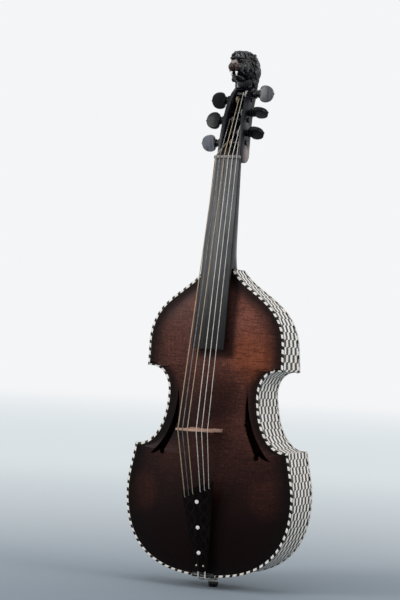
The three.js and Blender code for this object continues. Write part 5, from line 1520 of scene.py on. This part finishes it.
def make_mane():
    """Curls over the brow and round the face, and rows of long locks that fall down behind them."""
    curl, lock = curl_pattern(), lock_pattern()
    made = []
    rows = [(CURL_SKIN, vec(0, 0, 0), *row) for row in CURL_ROWS]
    rows += [(BROW_SKIN, BROW_MIDDLE, *row) for row in BROW_ROWS]
    for r, (skin, middle, share, count, low, high) in enumerate(rows):
        for i in range(count):
            angle = pi * mix(low, high, i / (count - 1))
            place, out = on_skin(skin, share, angle, middle)
            spin = vec(cos(i * 2.4 + r), 0.3, sin(i * 2.4 + r))
            made.append(set_down(curl, place, out, spin, 0.98 + 0.1 * sin(i * 1.7 + r)))
    for r, (share, count, low, high) in enumerate(LOCK_ROWS):
        for i in range(count):
            angle = pi * mix(low, high, (i + r % 2 / 2) / (count - 1 / 2))
            place, out = on_skin(LOCK_SKIN, share, angle)
            fall = LOCK_FALL + vec(0.2 * sin(i * 2.1 + r), 0, 0)
            made.append(set_down(lock, place, out, fall, 0.95 + 0.1 * sin(i * 1.3)))
    for r, (height, half, reach, count) in enumerate(NAPE_ROWS):
        for i in range(count):
            angle = pi * mix(-0.08, 1.08, (i + r % 2 / 2) / (count - 1 / 2))
            out = vec(cos(angle), sin(angle), 0)
            place = at(half * MM * out.x, NAPE_MIDDLE + reach * MM * out.y, height * MM)
            made.append(set_down(lock, place, out, vec(0.15 * sin(i * 2.3 + r), 0, -1)))
    for pattern in (curl, lock):
        bpy.data.objects.remove(pattern)
    return made


def make_ears():
    """Round ears, each a cupped disc set on the mane."""
    made = []
    for side in (1, -1):
        place = sided(side, EAR_SHARES)
        turn = (radians(EAR_TURN[0]), radians(side * EAR_TURN[1]), 0)
        ear = ball("ear", place, EAR_SIZE, turn, 24, 14)
        front = place + vec(side * EAR_CUP_PLACE[0], -EAR_SIZE[1], EAR_CUP_PLACE[1])
        made.append(cut(ear, ball("cup", front, EAR_CUP, turn, 20, 12)))
    return made


def make_lion_head():
    """The carved head: a soft hollowed face with its mane laid on, and fangs of ivory."""
    base = [lump for row in FACE_LUMPS for lump in balls("face", *row)]
    seat = HEAD_SEAT
    low = at(-seat.half, seat.front, HEAD_FOOT - seat.sunk)
    base.append(boxed("seat", low, at(seat.half, seat.back, HEAD_MIDDLE.z - FOOT_Z)))
    head = fused(base, 10)
    for row in HOLLOWS:
        for tool in balls("hollow", *row):
            cut(head, tool)
    details = [lump for row in CARVED_LUMPS for lump in balls("detail", *row)]
    head = fused([head, *details, *make_ears(), *make_mane()], 1)
    for tool in balls("nostril", *NOSTRIL):
        cut(head, tool)
    low = at(-OVERRUN, -OVERRUN, HEAD_FOOT - OVERRUN)
    cut(head, boxed("under", low, at(OVERRUN, DEPTH + OVERRUN, HEAD_FOOT)))
    settle(head, LION, "black_wood", "lion_head")
    for side, label in ((1, "right"), (-1, "left")):
        place, turn = sided(side, FANG_SHARES), (radians(180 + FANG_TILT), 0, 0)
        bpy.ops.mesh.primitive_cone_add(
            vertices=16, radius1=FANG.r, radius2=FANG.r * 0.25, depth=FANG.l, location=place, rotation=turn
        )
        settle(smooth(soften(applied(f"fang_{label}"), 0.5, 3, 40), 60), IVORY_FINISH, "edging")


# The rest of the CAD nodes


def dress_nodes():
    """Bare spruce on every node inside the body, and a finish on any other node that still shows."""
    finishes = {"inner_wood": SPRUCE, "black_wood": BLACK, "ebony": EBONY}
    for node in frame["nodes"].values():
        if not node.hide_render:
            node.data.materials.clear()
            node.data.materials.append(finishes.get(SLOTS.get(node.name), SPRUCE))


# Camera, floor and light

CAMERA_PLACE = vec(0.8532, -1.9155, 0.2810)
CAMERA_RIGHT = vec(0.9062296, 0.4196012, 0.0517947)
CAMERA_DOWN = vec(0.0330450, 0.0518359, -0.9981087)
CAMERA_AHEAD = vec(-0.4214924, 0.9062273, 0.0331095)
LENS = 102
CLIP = (0.05, 60)
FLOOR_SIZE = 24
FLOOR_CENTRE = vec(0.25, -0.54, 0)
# From and to which distance, in metres, the floor's painted shade pales, and the haze, a painted glow,
# rises, pales and takes over
FLOOR_PALES = (0.3, 2.3)
HAZE_RISES = (0.9, 3.1)
HAZE_PALES = (3.1, 11)
HAZE_TAKES_OVER = (0.7, 2.6)
FLOOR_NEAR = ink("7a8690")
FLOOR_FAR = ink("e4eaed")
MIST = ink("bcc6cc")
HAZE = ink("d9e1e4")
PALE = ink("f4f5f7")
ROOM = (0.93, 0.96, 1)
ROOM_STRENGTH = 0.5
# Name, place, size in metres and power in watts
LAMPS = [
    ("key", (2.3, -0.35, 1.3), 1.3, 26),
    ("fill", (-1.35, -1.9, 1.2), 0.9, 30),
    ("top", (0.1, -0.5, 2.1), 1.2, 9),
]
LAMP_AIM = at(0, 0, 0.3)


def make_camera():
    data = bpy.data.cameras.new("camera")
    data.sensor_fit = "AUTO"
    data.sensor_width = 36
    data.lens = LENS
    data.clip_start, data.clip_end = CLIP
    axes = Matrix([CAMERA_RIGHT, -CAMERA_DOWN, -CAMERA_AHEAD]).transposed()
    camera = linked("camera", data)
    camera.matrix_world = Matrix.Translation(CAMERA_PLACE) @ axes.to_4x4()
    bpy.context.scene.camera = camera


def make_floor():
    """A plain floor, darker near its middle in front of the instrument as painted shade, that pales outwards
    and glows with painted light into the backdrop's white.
    """
    bpy.ops.mesh.primitive_plane_add(size=FLOOR_SIZE)
    floor = started("floor")
    f = Finish("pale_floor", roughness=0.9)
    far = f.reach(FLOOR_CENTRE)
    f.feed(base_color=f.blend(far.ramp(*FLOOR_PALES), FLOOR_NEAR, FLOOR_FAR))
    haze = f.blend(far.ramp(*HAZE_RISES), MIST, HAZE)
    glow = f.node("Emission", {0: f.blend(far.ramp(*HAZE_PALES), haze, PALE), 1: 1.0})
    lit = Wire(f, f.surface.outputs[0])
    shown = f.node("MixShader", {0: far.ramp(*HAZE_TAKES_OVER), 1: lit, 2: glow})
    f.tree.links.new(shown.socket, f.tree.nodes["Material Output"].inputs[0])
    floor.data.materials.append(f.material)


def make_light():
    """A pale room, with soft lamps to the right, in front on the left and above."""
    world = bpy.data.worlds.new("studio")
    bpy.context.scene.world = world
    world.use_nodes = True
    tree = world.node_tree
    room = tree.nodes["Background"]
    backdrop = tree.nodes.new("ShaderNodeBackground")
    for background, colour, strength in ((room, ROOM, ROOM_STRENGTH), (backdrop, PALE, 1)):
        background.inputs[0].default_value = (*colour, 1)
        background.inputs[1].default_value = strength
    path = tree.nodes.new("ShaderNodeLightPath")
    seen = path.outputs["Is Camera Ray"]
    for ray in ("Is Glossy Ray", "Is Transmission Ray"):
        either = tree.nodes.new("ShaderNodeMath")
        either.operation = "MAXIMUM"
        tree.links.new(seen, either.inputs[0])
        tree.links.new(path.outputs[ray], either.inputs[1])
        seen = either.outputs[0]
    shown = tree.nodes.new("ShaderNodeMixShader")
    for number, socket in enumerate((seen, room.outputs[0], backdrop.outputs[0])):
        tree.links.new(socket, shown.inputs[number])
    tree.links.new(shown.outputs[0], tree.nodes["World Output"].inputs[0])
    for name, place, size, power in LAMPS:
        data = bpy.data.lights.new(name, "AREA")
        data.shape, data.size, data.energy = "SQUARE", size, power
        lamp = linked(name, data)
        lamp.location = place
        lamp.rotation_euler = (LAMP_AIM - Vector(place)).to_track_quat("-Z", "Y").to_euler()


make_camera()
make_floor()
make_light()
make_belly()
make_back()
make_borders()
make_ribs()
make_neck()
make_fingerboard()
make_small_fittings()
make_bridge()
make_tailpiece()
make_end_button()
make_tail_loop()
make_lion_head()
for number, peg in enumerate(PEGS, 1):
    make_peg(number, peg)
    make_turns(number, peg)
    make_string(peg)
dress_nodes()

bpy.context.scene.view_settings.view_transform = "Standard"
